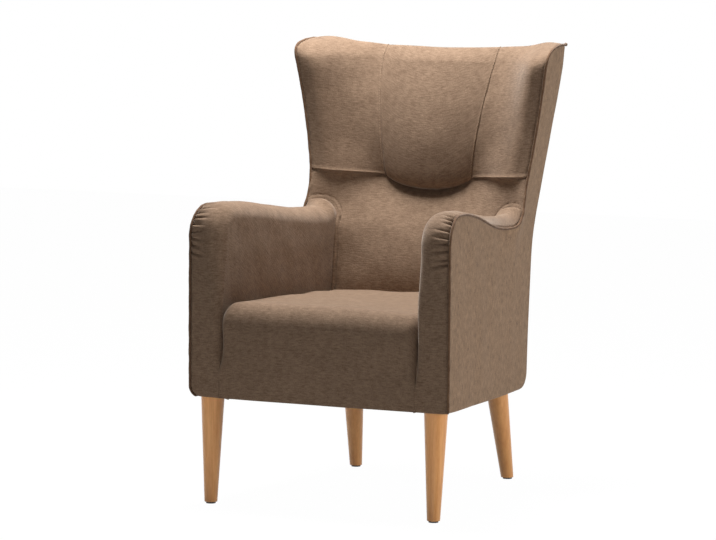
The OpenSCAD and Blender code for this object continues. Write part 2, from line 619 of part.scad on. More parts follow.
module back_top_rail() {
    color(wood_color) difference() {
        translate([-body_half_w, top_rail_y, top_rail_z - top_rail_h])
            cube([2*body_half_w, top_rail_t, top_rail_h]);
        both_sides() flare_space() translate([-gap, -reach, -reach]) cube([reach, 3*reach, 3*reach]);
        dowels(gap/2);
    }
}
module front_post() {
    y0 = front_rail_y;
    y1 = front_post_y;
    color(wood_color) difference() {
        side_piece([[y0, frame_z(y0, 0)], [y1, frame_z(y1, 0)], [y1, post_top_z - gap],
            [y0, post_top_z - gap]], post_w);
        dowels(gap/2);
        leg_bores();
    }
}
back_post_top = top_rail_z - top_rail_h - gap;
module back_post() {
    zs = steps(rear_low_z, back_post_top, 8);
    y0 = rear_low_y - core_in - back_post_d;
    color(wood_color) difference() {
        side_piece(concat(corner_arc(y0), [for (i = [1:8]) [rear_y(zs[i]) - core_in - gap, zs[i]]],
            [for (i = [8:-1:0]) [core_y(zs[i]), zs[i]]]), post_w);
        dowels(gap/2);
    }
}
module side_rail() {
    y0 = front_post_y + gap;
    y1 = rear_low_y - core_in - back_post_d - gap;
    color(wood_color) difference() {
        side_piece([[y0, frame_z(y0, 0)], [y1, frame_z(y1, 0)], [y1, frame_z(y1, rail_h)],
            [y0, frame_z(y0, rail_h)]],
            post_w);
        dowels(gap/2);
    }
}
arm_pad = 14;
arm_rail_h = 40;
arm_flat_z = dip_h - arm_pad;
module arm_rail() {
    top = [for (s = [1.35, 1.5, 1.65, 1.8, 2, 2.25, 2.5, 2.75, 3]) edge_pt(s) - arm_pad*edge_n(s)];
    y1 = core_y(arm_flat_z) - 2*gap;
    color(wood_color) difference() {
        side_piece(concat([[front_rail_y, post_top_z]], [[front_rail_y, top[0][1]]],
            [for (p = top) if (p[0] > front_rail_y) p],
            [[y1, arm_flat_z], [core_y(arm_flat_z - arm_rail_h) - 2*gap, arm_flat_z - arm_rail_h],
            [dip_y, arm_flat_z - arm_rail_h], [front_post_y, post_top_z]]), post_w);
        dowels(gap/2);
    }
}
wing_post_in = 39;
wing_post_y = wing_mid_y + wing_post_in;
wing_post_d = 22;
wing_rail_h = 26;
wing_pad_h = 42;
wing_rail_z = wing_top_h - wing_pad_h;
module wing_post() {
    color(wood_color) difference() {
        flare_space() plate_x(side_pts([[wing_post_y, arm_flat_z - post_w],
            [wing_post_y + wing_post_d, arm_flat_z - post_w],
            [wing_post_y + wing_post_d, wing_rail_z - wing_rail_h - gap],
            [wing_post_y, wing_rail_z - wing_rail_h - gap]]), -post_w, -gap);
        translate([-reach, -reach, arm_flat_z + gap - 2*reach]) cube([2*reach, 2*reach, 2*reach]);
        dowels(gap/2);
    }
}
module wing_top_rail() {
    color(wood_color) difference() {
        flare_space() plate_x(side_pts([[wing_post_y, wing_rail_z - wing_rail_h],
            [top_rail_y, wing_rail_z - wing_rail_h], [top_rail_y, wing_rail_z], [wing_post_y, wing_rail_z]]),
            -post_w, -gap);
        grown_top_rail();
    }
}
module grown_top_rail() {
    translate([-body_half_w, top_rail_y - gap, top_rail_z - top_rail_h - gap])
        cube([2*body_half_w, top_rail_t + 2*gap, top_rail_h + 2*gap]);
}

// Dowels: across the chair, along the sides and upright
cross_rails = [
    [front_rail_y + rail_t/2, [frame_z(front_rail_y, rail_h*0.6), frame_z(front_rail_y, rail_h*0.85)]],
    [rear_rail_y + rail_t/2, [frame_z(rear_rail_y, rail_h*0.6), frame_z(rear_rail_y, rail_h*0.85)]],
    [core_y(tuck_rail_z - small_rail_h/2) + rail_t/2,
        [tuck_rail_z - small_rail_h/4, tuck_rail_z - small_rail_h*3/4]],
    [core_y(mid_rail_z - small_rail_h/2) + rail_t/2,
        [mid_rail_z - small_rail_h/4, mid_rail_z - small_rail_h*3/4]]];
dowel_in = 17;
side_rail_dowels = [for (k = [0.3, 0.7]) rail_h*k];
module rod(d, l) { cylinder(d = d, h = l, $fn = 24); }
module dowels(grow) {
    d = dowel_d + 2*grow;
    both_sides() {
        for (r = cross_rails) for (z = r[1])
            translate([body_half_w - core_in/cos(taper_a) - taper_share*(r[0] - front_y) - post_w/cos(taper_a)
                - dowel_len + dowel_in - grow, r[0], z]) rotate([0, 90, 0]) rod(d, dowel_len + 2*grow);
        side_space() translate([-post_w/2, 0, 0]) {
            for (w = side_rail_dowels) {
                translate([0, (front_post_y - front_y)/cos(taper_a) - dowel_len/2 - grow,
                    frame_z(front_post_y, w)])
                    rotate([-90, 0, 0]) rod(d, dowel_len + 2*grow);
                translate([0, (rear_low_y - core_in - back_post_d - front_y)/cos(taper_a) - dowel_len/2 - grow,
                    frame_z(rear_low_y - core_in - back_post_d, w)])
                    rotate([-90, 0, 0]) rod(d, dowel_len + 2*grow);
            }
            translate([0, (core_y(arm_flat_z - arm_rail_h/2) - front_y)/cos(taper_a) - dowel_len/2 - grow,
                arm_flat_z - arm_rail_h/2]) rotate([-90, 0, 0]) rod(d, dowel_len + 2*grow);
            translate([0, (front_rail_y + front_post_d/2 - front_y)/cos(taper_a),
                post_top_z - dowel_len/2 - grow])
                rod(d, dowel_len + 2*grow);
            translate([0, (wing_post_y + wing_post_d/2 - front_y)/cos(taper_a),
                arm_flat_z - dowel_len/2 - grow])
                rod(d, dowel_len + 2*grow);
            translate([0, (top_rail_y + top_rail_t/2 - front_y)/cos(taper_a),
                back_post_top - dowel_len/2 - grow])
                rod(d, dowel_len + 2*grow);
        }
    }
}
module frame_dowels() { color("tan") dowels(0); }

// Legs and their fixings
plate_w0 = core_in - plate_t - gap;
leg_top_w = plate_w0 - gap;
front_foot_x = body_half_w - front_foot_in;
rear_foot_x = body_half_w - rear_foot_in;
leg_over = 40;
// Where a leg's axis meets the frame's underside, for a foot and its leans
function top_y(foot_y, lean) = let(k = tan(lean), t = pitch_a)
    (foot_y - k*(base_front_h + front_y*tan(t)))/(1 - k*tan(t));
function leg_top(foot_x, foot_y, lean, side_lean) = let(y = top_y(foot_y, lean))
    [foot_x - base_z(y)*tan(side_lean), y];
front_top = leg_top(front_foot_x, -front_foot_y, -front_splay_angle, 0);
rear_top = leg_top(rear_foot_x, rear_foot_y, rear_splay_angle, rear_side_splay_angle);
leg_tops = [front_top, rear_top];
module at_leg_tops() {
    both_sides() for (t = leg_tops) base_space() translate([t[0], (t[1] - front_y)/cos(pitch_a), 0])
        children();
}
module leg_bores() {
    at_leg_tops() translate([0, 0, -bolt_len/2]) rod(bolt_d + gap, bolt_len + gap);
    at_leg_tops() plate_ring() translate([0, 0, core_in - gap]) rod(screw_d + gap, screw_len + gap);
}
screw_d = 4;
screw_len = 18;
screw_head_d = 7.4;
screw_head_h = 2;
screw_ring_share = 0.57;
module plate_ring() {
    for (a = [45:90:315]) rotate([0, 0, a]) translate([plate_d/2*screw_ring_share, 0, 0]) children();
}
nail_d = 2.5;
nail_len = 16;
module leg(x, y, lean, side_lean) {
    color(wood_color) difference() {
        translate([x, y, 0]) rotate([0, -side_lean, 0]) rotate([lean, 0, 0])
            translate([0, 0, -leg_over]) cylinder(h = base_front_h + 2*leg_over, $fn = 48,
                d1 = leg_foot_d - (leg_top_d - leg_foot_d)*leg_over/base_front_h,
                d2 = leg_top_d + (leg_top_d - leg_foot_d)*leg_over/base_front_h);
        base_space() translate([-reach/2, -reach/2, leg_top_w]) cube([reach, 2*reach, reach]);
        translate([-reach/2, -reach, glide_h - reach]) cube([reach, 2*reach, reach]);
        at_leg_tops() translate([0, 0, -bolt_len/2]) rod(bolt_d + gap, bolt_len);
        translate([x, y, 0]) rod(nail_d + gap, glide_h + nail_len);
    }
}
module leg_front() { leg(front_foot_x, -front_foot_y, -front_splay_angle, 0); }
module leg_rear() { leg(rear_foot_x, rear_foot_y, rear_splay_angle, rear_side_splay_angle); }
module glides() {
    color("dimgray") both_sides() for (f = [[front_foot_x, -front_foot_y], [rear_foot_x, rear_foot_y]])
        translate([f[0], f[1], 0]) {
            cylinder(d = glide_d, h = glide_h, $fn = 32);
            rod(nail_d, glide_h + nail_len - gap);
        }
}
module hanger_bolts() {
    color("silver") at_leg_tops() translate([0, 0, gap - bolt_len/2]) rod(bolt_d, bolt_len - 2*gap);
}
module leg_plates() {
    color("gray") difference() {
        at_leg_tops() translate([0, 0, plate_w0]) cylinder(d = plate_d, h = plate_t, $fn = 48);
        at_leg_tops() translate([0, 0, plate_w0 - plate_t]) rod(bolt_d + gap, 3*plate_t);
        at_leg_tops() plate_ring() translate([0, 0, plate_w0 - plate_t]) rod(screw_d + gap, 3*plate_t);
        at_leg_tops() plate_ring() translate([0, 0, plate_w0 - gap])
            rod(screw_head_d + 2*gap, screw_head_h/2 + 2*gap);
    }
}
module plate_screws() {
    color("silver") at_leg_tops() plate_ring() translate([0, 0, plate_w0]) {
        rod(screw_head_d, screw_head_h/2);
        rod(screw_d, screw_len);
    }
}
// Screws that hold the front corner blocks to the front rail
block_screw_len = 40;
block_screw_share = 0.75;
block_screw_gap = 34;
module at_block_screws() {
    both_sides() for (k = [0, 1])
        translate([body_half_w - core_in - post_w - block_in + block_screw_d*3 + k*block_screw_gap,
            front_rail_y + block_len, frame_z(front_rail_y + block_len, block_h*block_screw_share)])
            rotate([90, 0, 0]) children();
}
block_screw_d = 5;
block_screw_head_d = 9;
module block_screws(grow) {
    at_block_screws() {
        translate([0, 0, -grow]) rod(block_screw_d + 2*grow, block_screw_len + 2*grow);
    }
}
module frame_screws() {
    color("silver") {
        block_screws(0);
        at_block_screws() translate([0, 0, -screw_head_h]) rod(block_screw_head_d, screw_head_h);
    }
}

// Underside cloth and its staples
cloth_t = 1;
cloth_w0 = core_in - gap - cloth_t;
cloth_edge = 12;
cloth_len = rear_c[0] - front_y - cloth_edge;
module cloth_shape() {
    polygon([for (c = [[-1, cloth_edge], [1, cloth_edge], [1, cloth_len], [-1, cloth_len]])
        [c[0]*(side_x(front_y + c[1], 0) - cloth_edge), c[1]]]);
}
module dust_cover() {
    color("black") difference() {
        base_space() translate([0, 0, cloth_w0]) linear_extrude(cloth_t) cloth_shape();
        at_leg_tops() translate([0, 0, cloth_w0 - cloth_t])
            cylinder(d = leg_top_d + 4*cloth_t, h = 3*cloth_t, $fn = 48);
    }
}
staple_w = 10;
staple_t = 0.8;
staple_rows = 11;
module dust_staples() {
    color("silver") {
        both_sides() for (k = [1:staple_rows - 1]) let(v = lerp(cloth_edge, cloth_len, k/staple_rows))
            if (abs(v - (front_top[1] - front_y)) > leg_top_d && abs(v - (rear_top[1] - front_y)) > leg_top_d/4)
                base_space() translate([side_x(front_y + v, 0) - 2*cloth_edge, v,
                    cloth_w0 - staple_t - gap])
                    cube([staple_t, staple_w, staple_t]);
        for (k = [-3:3]) for (v = [2*cloth_edge, cloth_len - cloth_edge])
            base_space() translate([k*staple_w*5 - staple_w/2, v, cloth_w0 - staple_t - gap])
                cube([staple_w, staple_t, staple_t]);
    }
}

// Zigzag springs on the seat rails, their clips and the felt over them
spring_w0 = rail_top_h + wire_d/2 + gap;
spring_y0 = (front_rail_y + rail_t/2 - front_y)/cos(pitch_a);
spring_y1 = (rear_rail_y + rail_t/2 - front_y)/cos(pitch_a);
spring_end = 20;
spring_field_share = 0.96;
spring_square_share = 1.35;
function spring_x(i) = (i - (spring_count - 1)/2)*spring_field_share*2*rear_foot_x/spring_count;
module spring(i) {
    n = spring_waves*4;
    path = concat([[0, spring_y0, 0]], [for (k = [0:n])
        [spring_w/2*max(-1, min(1, spring_square_share*sin(180*k/4))),
            lerp(spring_y0 + spring_end, spring_y1 - spring_end, k/n), 0]], [[0, spring_y1, 0]]);
    translate([spring_x(i), 0, spring_w0]) sweep(path, wire_d/2, 6, [0, 0, 1]);
}
module seat_springs() { color("slategray") base_space() for (i = [0:spring_count - 1]) spring(i); }
clip_w = 14;
clip_len = 10;
clip_t = 1.2;
module spring_clips() {
    color("silver") base_space() for (i = [0:spring_count - 1])
        for (e = [[spring_y0, 0], [spring_y1 - clip_len, 0]])
        translate([spring_x(i), e[0], rail_top_h + gap]) difference() {
            translate([-clip_w/2, 0, 0]) cube([clip_w, clip_len, wire_d + clip_t]);
            translate([0, -clip_len, wire_d/2]) rotate([-90, 0, 0]) rod(wire_d + 2*gap, 3*clip_len);
            translate([-(wire_d + 2*gap)/2, -clip_len, -wire_d])
                cube([wire_d + 2*gap, 3*clip_len, wire_d*3/2]);
        }
}
felt_w0 = rail_top_h + wire_d + clip_t + 3*gap;
pad_top_w = felt_w0 + felt_t + gap;
module spring_pad() {
    v0 = front_pad;
    v1 = rear_rail_y - front_y;
    color("gainsboro") base_space() translate([0, 0, felt_w0]) linear_extrude(felt_t)
        polygon([for (c = [[-1, v0], [1, v0], [1, v1], [-1, v1]])
            [c[0]*(inner_x(front_y + c[1]) - edge_room), c[1]]]);
}

// Foams
foam_color = "khaki";
seat_foam_end = 3 - core_in/(seat_c[1] - base_front_h);
seat_foam_share = 0.99;
seat_foam_min = 3;
function foam_base_z(y) = base_z(y) + pad_top_w + gap;
module seat_foam() {
    rows = [for (v = seat_row_shares) min(v, seat_foam_end)];
    y1 = front_rail_y - gap;
    g = sunk([for (v = rows) [for (u = seat_col_shares) seat_pt(u*(v < 2 ? 1 : seat_foam_share), v)]],
        foam_in);
    a = [for (i = [0:len(rows) - 1]) [for (q = g[i])
        [q[0], rows[i] > 1.5 ? min(q[1], y1 - seat_foam_min) : q[1], q[2]]]];
    n = len(seat_col_shares) - 1;
    b = [for (i = [0:len(rows) - 1]) [for (j = [0:n])
        let(v = rows[i], u = 2*j/n - 1, y = v < 1 ? lerp(a[0][j][1], front_rail_y + gap, v) : y1,
            z = v < 1 ? foam_base_z(y) + gap : lerp(foam_base_z(y1) + gap, frame_z(front_y, 0),
                (v - 1)/(seat_foam_end - 1)))
        [u*(a[i][n][0]), y, z]]];
    color(foam_color) grid_solid(a, b);
}
arm_foam_start = core_in/(nose_c[1] - base_front_h);
arm_foam_share = 0.5;
module arm_foam() {
    rows = [for (s = arm_row_shares) max(s, arm_foam_start)];
    n = len(arm_col_shares) - 1;
    a = sunk(trimmed([for (s = rows) [for (t = arm_col_shares) arm_pt(s, t)]], arm_foam_share, 1), foam_in);
    b = [for (i = [0:len(rows) - 1]) [for (j = [0:n])
        let(s = rows[i], p = edge_pt(s) - edge_n(s)*(pad_in + board_edge), q = tuck_pt(s),
            low = q[0] < front_rail_y, y0 = front_rail_y - 2*gap,
            m = lerp(low ? [y0, p[1]] : p, low ? [y0 - post_w*sin(taper_a), q[1]] : q, j/n))
        [side_x(m[0], m[1]) - core_in - gap - post_w*j/n, m[0], m[1]]]];
    color(foam_color) difference() {
        grid_solid(a, b);
        grown_post();
        grown_arm_rail();
    }
}
module grown_post() {
    y0 = front_rail_y - gap;
    y1 = front_post_y + gap;
    side_space() plate_x(side_pts([[y0, base_front_h], [y1, base_front_h],
        [y1, post_top_z], [y0, post_top_z]]), -post_w - gap, post_w);
}
module grown_arm_rail() {
    top = [for (s = [1.35, 1.5, 1.65, 1.8, 2, 2.25, 2.5, 2.75, 3]) edge_pt(s) - (arm_pad - gap)*edge_n(s)];
    y0 = front_rail_y - gap;
    side_space() plate_x(side_pts(concat([[y0, post_top_z - gap]], [[y0, top[0][1]]],
        [for (p = top) if (p[0] > y0) p], [[reach/2, arm_flat_z + gap],
            [reach/2, arm_flat_z - arm_rail_h - gap],
        [dip_y, arm_flat_z - arm_rail_h - gap], [front_post_y, post_top_z - gap]])), -post_w - gap, post_w);
}
foam_side_share = 0.65;
strap_room = webbing_t + 3*gap + post_w*sin(taper_a);
module lumbar_foam() {
    a = sunk(trimmed(lumbar_grid, foam_side_share, -1), foam_in);
    b = [for (r = a) [for (q = r) let(y = core_y(q[2]) - strap_room,
        k = min(1, (side_x(y, q[2]) - core_in - 2*gap)/abs(r[len(r) - 1][0]))) [q[0]*k, y, q[2]]]];
    color(foam_color) difference() {
        grid_solid(a, b);
        grown_wing_posts();
    }
}
module grown_wing_posts() {
    both_sides() flare_space() plate_x(side_pts([[wing_post_y - gap, arm_flat_z - gap],
        [wing_post_y + wing_post_d + gap, arm_flat_z - gap],
        [wing_post_y + wing_post_d + gap, wing_rail_z - wing_rail_h - gap],
        [top_rail_y, wing_rail_z - wing_rail_h - gap], [top_rail_y, wing_rail_z + gap],
        [wing_post_y - gap, wing_rail_z + gap]]), -post_w - gap, post_w);
}
core_turn = 35;
module head_foam() {
    a = sunk(turned([for (v = head_row_shares) [for (u = head_col_shares) head_pt(u, v)]]), foam_in);
    n = len(a) - 1;
    b = [for (i = [0:n]) let(v = head_row_shares[n - i]) [for (q = a[i])
        let(t = ease((q[2] - back_post_top + core_turn)/core_turn), face = top_rail_y - gap)
        v <= 1 ? [q[0], lerp(core_y(min(q[2], back_post_top)) - strap_room, face, t), min(q[2], top_rail_z)]
        : [q[0], lerp(face, top_rail_y + top_rail_t, v - 1), top_rail_z + gap]]];
    color(foam_color) difference() {
        grid_solid(a, b);
        grown_top_rail();
    }
}
wing_foam_t = 19;
wing_edge_foam_t = 9;
module wing_foam() {
    a = sunk(trimmed(wing_grid, foam_side_share), foam_in + 2*gap);
    n = len(a) - 1;
    b = [for (i = [0:n]) let(v = wing_row_shares[n - i], c = 180*clamp01(v - 1))
        [for (j = [0:len(wing_col_shares) - 1])
            let(q = a[i][j], t = lerp(lerp(wing_foam_t, wing_edge_foam_t, wing_col_shares[j]),
                wing_edge_foam_t, ease((v - 0.8)/0.4)))
            [q[0], q[1] + t*cos(c), q[2] - t*sin(c)]]];
    color(foam_color) difference() {
        grid_solid(a, b);
        grown_wing_posts();
        grown_top_rail();
    }
}
webbing_rise_shares = [0.063, 0.17, 0.385, 0.52, 0.654, 0.783];
module back_webbing() {
    color("saddlebrown") for (k = webbing_rise_shares) {
        z = lerp(tuck_z, roll_z, k);
        lean = atan((core_y(z + webbing_w/2) - core_y(z - webbing_w/2))/webbing_w);
        translate([0, core_y(z) - strap_room + gap, z]) rotate([-lean, 0, 0])
            translate([-side_x(core_y(z), 0) + core_in + post_w/2, 0, -webbing_w/2])
            cube([2*(side_x(core_y(z), 0) - core_in - post_w/2), webbing_t, webbing_w]);
    }
}

left() inside_arm_cover();  // inside_arm_cover_left
inside_arm_cover();  // inside_arm_cover_right
seat_cover();
lumbar_cover();
head_cover();
left() wing_cover();  // wing_cover_left
wing_cover();  // wing_cover_right
left() outside_arm_cover();  // outside_arm_cover_left
outside_arm_cover();  // outside_arm_cover_right
outside_back_cover();
left() piping();  // piping_left
piping();  // piping_right
left() leg_front();  // leg_front_left
leg_front();  // leg_front_right
left() leg_rear();  // leg_rear_left
leg_rear();  // leg_rear_right
glides();
hanger_bolts();
leg_plates();
plate_screws();
dust_cover();
front_rail();
left() side_rail();  // side_rail_left
side_rail();  // side_rail_right
back_rail_bottom();
back_tuck_rail();
back_mid_rail();
back_top_rail();
left() front_post();  // front_post_left
front_post();  // front_post_right
left() back_post();  // back_post_left
back_post();  // back_post_right
left() arm_rail();  // arm_rail_left
arm_rail();  // arm_rail_right
left() wing_post();  // wing_post_left
wing_post();  // wing_post_right
left() wing_top_rail();  // wing_top_rail_left
wing_top_rail();  // wing_top_rail_right
corner_blocks();
frame_dowels();
dust_staples();
frame_screws();
seat_springs();
spring_clips();
spring_pad();
seat_foam();
back_webbing();
lumbar_foam();
head_foam();
left() wing_foam();  // wing_foam_left
wing_foam();  // wing_foam_right
left() arm_foam();  // arm_foam_left
arm_foam();  // arm_foam_right
left() side_board();  // side_board_left
side_board();  // side_board_right
back_board();
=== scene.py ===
import math

import bmesh
import bpy
import numpy as np
from mathutils import Matrix, Vector


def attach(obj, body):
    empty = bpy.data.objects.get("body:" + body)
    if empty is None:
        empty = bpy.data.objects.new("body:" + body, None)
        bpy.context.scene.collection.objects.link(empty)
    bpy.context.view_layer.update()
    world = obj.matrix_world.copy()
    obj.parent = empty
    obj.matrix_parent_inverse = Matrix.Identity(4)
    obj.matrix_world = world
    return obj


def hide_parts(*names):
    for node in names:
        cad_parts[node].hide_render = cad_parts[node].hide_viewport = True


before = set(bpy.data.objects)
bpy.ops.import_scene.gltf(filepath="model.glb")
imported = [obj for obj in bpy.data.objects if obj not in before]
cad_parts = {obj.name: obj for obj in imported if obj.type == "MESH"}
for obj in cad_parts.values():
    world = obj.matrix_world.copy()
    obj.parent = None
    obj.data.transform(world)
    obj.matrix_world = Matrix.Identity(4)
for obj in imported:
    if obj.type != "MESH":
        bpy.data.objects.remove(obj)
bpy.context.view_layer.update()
mm = 0.001
print("frame loaded:", len(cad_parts), "nodes")


# camera, from the corners of the chair in the photograph
camera = {
    "focalPixels": 3500.55,
    "imageWide": 716,
    "sensor": 36.0,
    "azimuth": 24.491,
    "elevation": 6.017,
    "roll": 0.445,
    "place": (3.2666, -7.3096, 1.35633),
}


def linked(name, data):
    obj = bpy.data.objects.new(name, data)
    bpy.context.scene.collection.objects.link(obj)
    return obj


def makeCamera(c):
    data = bpy.data.cameras.new("camera")
    data.sensor_width = c["sensor"]
    data.lens = c["focalPixels"]/c["imageWide"]*c["sensor"]
    data.clip_end = 50
    a, e, r = (math.radians(c[k]) for k in ("azimuth", "elevation", "roll"))
    back = Vector((math.sin(a)*math.cos(e), -math.cos(a)*math.cos(e), math.sin(e)))
    level = Vector((math.cos(a), math.sin(a), 0))
    upward = back.cross(level)
    right = level*math.cos(r) + upward*math.sin(r)
    up = upward*math.cos(r) - level*math.sin(r)
    turn = Matrix((right, up, back)).transposed().to_4x4()
    obj = linked("camera", data)
    obj.matrix_world = Matrix.Translation(c["place"]) @ turn
    bpy.context.scene.camera = obj


makeCamera(camera)
print("camera placed")


# shader helpers: Sock adds Math nodes for an expression on values
class Sock:
    def __init__(self, shader, out):
        self.shader = shader
        self.out = out

    def math(self, operation, *others):
        ins = [self.out] + [o.out if isinstance(o, Sock) else o for o in others]
        return self.shader.node("ShaderNodeMath", {"operation": operation}, dict(enumerate(ins)))

    def __add__(self, other):
        return self.math("ADD", other)

    def __radd__(self, other):
        return self.math("ADD", other)

    def __mul__(self, other):
        return self.math("MULTIPLY", other)

    def __rmul__(self, other):
        return self.math("MULTIPLY", other)

    def __sub__(self, other):
        return self.math("SUBTRACT", other)

    def __rsub__(self, other):
        return (self*-1).math("ADD", other)

    def clamp(self):
        return self.math("MINIMUM", 1.0).math("MAXIMUM", 0.0)


class NodeMaker:
    def __init__(self, tree):
        self.tree = tree

    def node(self, kind, settings=None, inputs=None, output=0):
        n = self.tree.nodes.new(kind)
        for key, value in (settings or {}).items():
            if key == "stops":
                ramp = n.color_ramp.elements
                while len(ramp) < len(value):
                    ramp.new(0.5)
                for element, (at, colour) in zip(ramp, value):
                    element.position = at
                    element.color = colour
            else:
                setattr(n, key, value)
        for key, value in (inputs or {}).items():
            value = value.out if isinstance(value, Sock) else value
            if isinstance(value, bpy.types.NodeSocket):
                self.tree.links.new(value, n.inputs[key])
            else:
                n.inputs[key].default_value = value
        return Sock(self, n.outputs[output]) if len(n.outputs) else None


class Shader(NodeMaker):
    def __init__(self, name):
        self.material = bpy.data.materials.new(name)
        self.material.use_nodes = True
        super().__init__(self.material.node_tree)
        self.tree.nodes.clear()

    def place(self):
        return self.node("ShaderNodeTexCoord", output="Object")

    def cloth(self):
        return self.node("ShaderNodeUVMap", {"uv_map": "cloth"}, output="UV")

    def scaled(self, vector, scale):
        return self.node("ShaderNodeVectorMath", {"operation": "MULTIPLY"}, {0: vector, 1: scale})

    def noise(self, vector, scale, detail=2.0, rough=0.5):
        return self.node("ShaderNodeTexNoise", {},
                         {"Vector": vector, "Scale": scale, "Detail": detail, "Roughness": rough})

    def mix(self, share, a, b):
        return self.node("ShaderNodeMix", {"data_type": "RGBA"}, {0: share, 6: a, 7: b}, output=2)

    def bump(self, height, distance, strength):
        return self.node("ShaderNodeBump", {}, {"Height": height, "Distance": distance, "Strength": strength})

    def finish(self, **inputs):
        names = {"colour": "Base Color", "roughness": "Roughness", "metallic": "Metallic", "normal": "Normal",
                 "sheen": "Sheen Weight", "sheenRoughness": "Sheen Roughness", "sheenTint": "Sheen Tint",
                 "specular": "Specular IOR Level", "coat": "Coat Weight", "coatRoughness": "Coat Roughness"}
        bsdf = self.node("ShaderNodeBsdfPrincipled", {}, {names[k]: v for k, v in inputs.items()})
        self.node("ShaderNodeOutputMaterial", {}, {"Surface": bsdf})
        return self.material


def linear(hexed):
    parts = [int(hexed[i:i + 2], 16)/255 for i in (0, 2, 4)]
    return tuple(c/12.92 if c <= 0.04045 else ((c + 0.055)/1.055)**2.4 for c in parts) + (1.0,)


# chenille: short ribs across, a soft nap that reads lighter and darker in patches
chenille = {
    "pale": "9a816b",
    "deep": "604a39",
    # the outside panels' pale colour is paler than the rest of the same chenille: painted light on the sides
    "sidePalePaintedLight": "b79678",
    "sideDeep": "5f4936",
    "weltPale": "80634c",
    "weltDeep": "503a2a",
    "patchSize": 0.019,
    "patchDepth": 0.6,
    "streakAcross": 0.006,
    "streakAlong": 0.014,
    "streakDepth": 0.4,
    "ribAcross": 0.0036,
    "ribAlong": 0.013,
    "ribDepth": 0.75,
    "grainSize": 0.003,
    "grainDepth": 0.8,
    "sideSpread": 1.6,
    "sheen": 0.35,
    "specular": 0.15,
    "roughness": 0.86,
    "bumpDepth": 0.001,
}


def chenilleMaterial(name, c, pale, deep, ribTurned=False):
    s = Shader(name)
    cloth = s.cloth()

    def streaks(across, along, detail):
        scale = (1/across/c["sideSpread"], 1/along, 1.0) if ribTurned else (1/along, 1/across, 1.0)
        return s.noise(s.scaled(cloth, scale), 1.0, detail)

    ribs = streaks(c["ribAcross"], c["ribAlong"], 1.0)
    wide = streaks(c["streakAcross"], c["streakAlong"], 2.0)
    grain = s.noise(cloth, 1/c["grainSize"], 2.0)
    patches = s.noise(s.place(), 1/c["patchSize"], 3.0, 0.6)
    tone = (ribs - 0.5)*c["ribDepth"] + (wide - 0.5)*c["streakDepth"] + (grain - 0.5)*c["grainDepth"]
    tone = tone + (patches - 0.5)*c["patchDepth"] + 0.5
    colour = s.mix(tone.clamp(), linear(deep), linear(pale))
    normal = s.bump(ribs*0.6 + grain*0.55 + wide*0.2, c["bumpDepth"], 0.6)
    return s.finish(colour=colour, roughness=c["roughness"] + 0.08*grain, normal=normal, sheen=c["sheen"],
                    sheenRoughness=0.4, sheenTint=linear("f6ece2"), specular=c["specular"])


clothMaterial = chenilleMaterial("chenille", chenille, chenille["pale"], chenille["deep"])
# the outside panels are the same chenille with its ribs upright, in a paler copy of its colours: the paleness
# is painted light on the sides
sidePaintedLighterMaterial = chenilleMaterial("chenilleUprightPaintedLighter", chenille, chenille["sidePalePaintedLight"], chenille["sideDeep"], True)
pipingMaterial = chenilleMaterial("chenilleWelt", chenille, chenille["weltPale"], chenille["weltDeep"], True)


# beech with a honey lacquer, its grain along the leg
beech = {"pale": "f9b56c", "deep": "db8f48", "ringWidth": 0.0075, "fleckLong": 0.012}


def woodMaterial(name, pale, deep, upright=True, coat=0.35):
    s = Shader(name)
    place = s.place()
    long = (1.0, 1.0, 0.07) if upright else (0.07, 1.0, 1.0)
    grain = s.scaled(place, long)
    warp = s.noise(grain, 18.0, 2.0)
    shift = s.scaled(s.node("ShaderNodeCombineXYZ", {}, {0: warp, 1: warp}), (0.03, 0.03, 0.0))
    moved = s.node("ShaderNodeVectorMath", {"operation": "ADD"}, {0: grain, 1: shift})
    rings = s.noise(moved, 1/beech["ringWidth"], 2.0, 0.6)
    pores = s.noise(s.scaled(place, (1500.0, 1500.0, 60.0) if upright else (60.0, 1500.0, 1500.0)), 1.0, 1.0)
    fleck = s.noise(s.scaled(place, (500.0, 500.0, 1/beech["fleckLong"])), 1.0, 1.0)
    tone = (rings - 0.5)*1.5 + (pores - 0.5)*0.35 + (fleck - 0.5)*0.45 + 0.5
    colour = s.mix(tone.clamp(), linear(deep), linear(pale))
    normal = s.bump(pores*0.5 + rings*0.3, 0.0003, 0.4)
    return s.finish(colour=colour, roughness=0.36 + 0.14*pores, normal=normal, coat=coat, coatRoughness=0.22)


legMaterial = woodMaterial("beechLacquered", beech["pale"], beech["deep"])
frameMaterial = woodMaterial("beechPlain", "d9b98c", "b98f5f", False, 0.0)


def plainMaterial(name, pale, deep, size, roughness, metallic=0.0, depth=0.0002, stretch=(1.0, 1.0, 1.0)):
    s = Shader(name)
    spots = s.noise(s.scaled(s.place(), stretch), 1/size, 3.0)
    colour = s.mix(((spots - 0.5)*1.6 + 0.5).clamp(), linear(deep), linear(pale))
    return s.finish(colour=colour, roughness=roughness + 0.12*spots, metallic=metallic,
                    normal=s.bump(spots, depth, 0.5))


boardMaterial = plainMaterial("hardboard", "8a6a48", "5f4630", 0.0016, 0.7)
foamMaterial = plainMaterial("foam", "e6dcae", "c9ba82", 0.0012, 0.92, depth=0.0008)
feltMaterial = plainMaterial("felt", "a8a49c", "706c66", 0.0022, 0.95, depth=0.0007)
strapMaterial = plainMaterial("webbingWeave", "8a6c46", "5b4327", 0.0011, 0.85, depth=0.0006,
                              stretch=(0.2, 1.0, 1.0))
underMaterial = plainMaterial("dustCloth", "2b2927", "151413", 0.0011, 0.93, depth=0.0004)
steelMaterial = plainMaterial("steel", "b9bcc0", "8b8f94", 0.004, 0.3, 1.0)
glideMaterial = plainMaterial("glidePlastic", "3b3a3a", "262525", 0.003, 0.45)
stitchMaterial = plainMaterial("stitchThread", "c4a98f", "a0856b", 0.001, 0.75)
print("materials made")


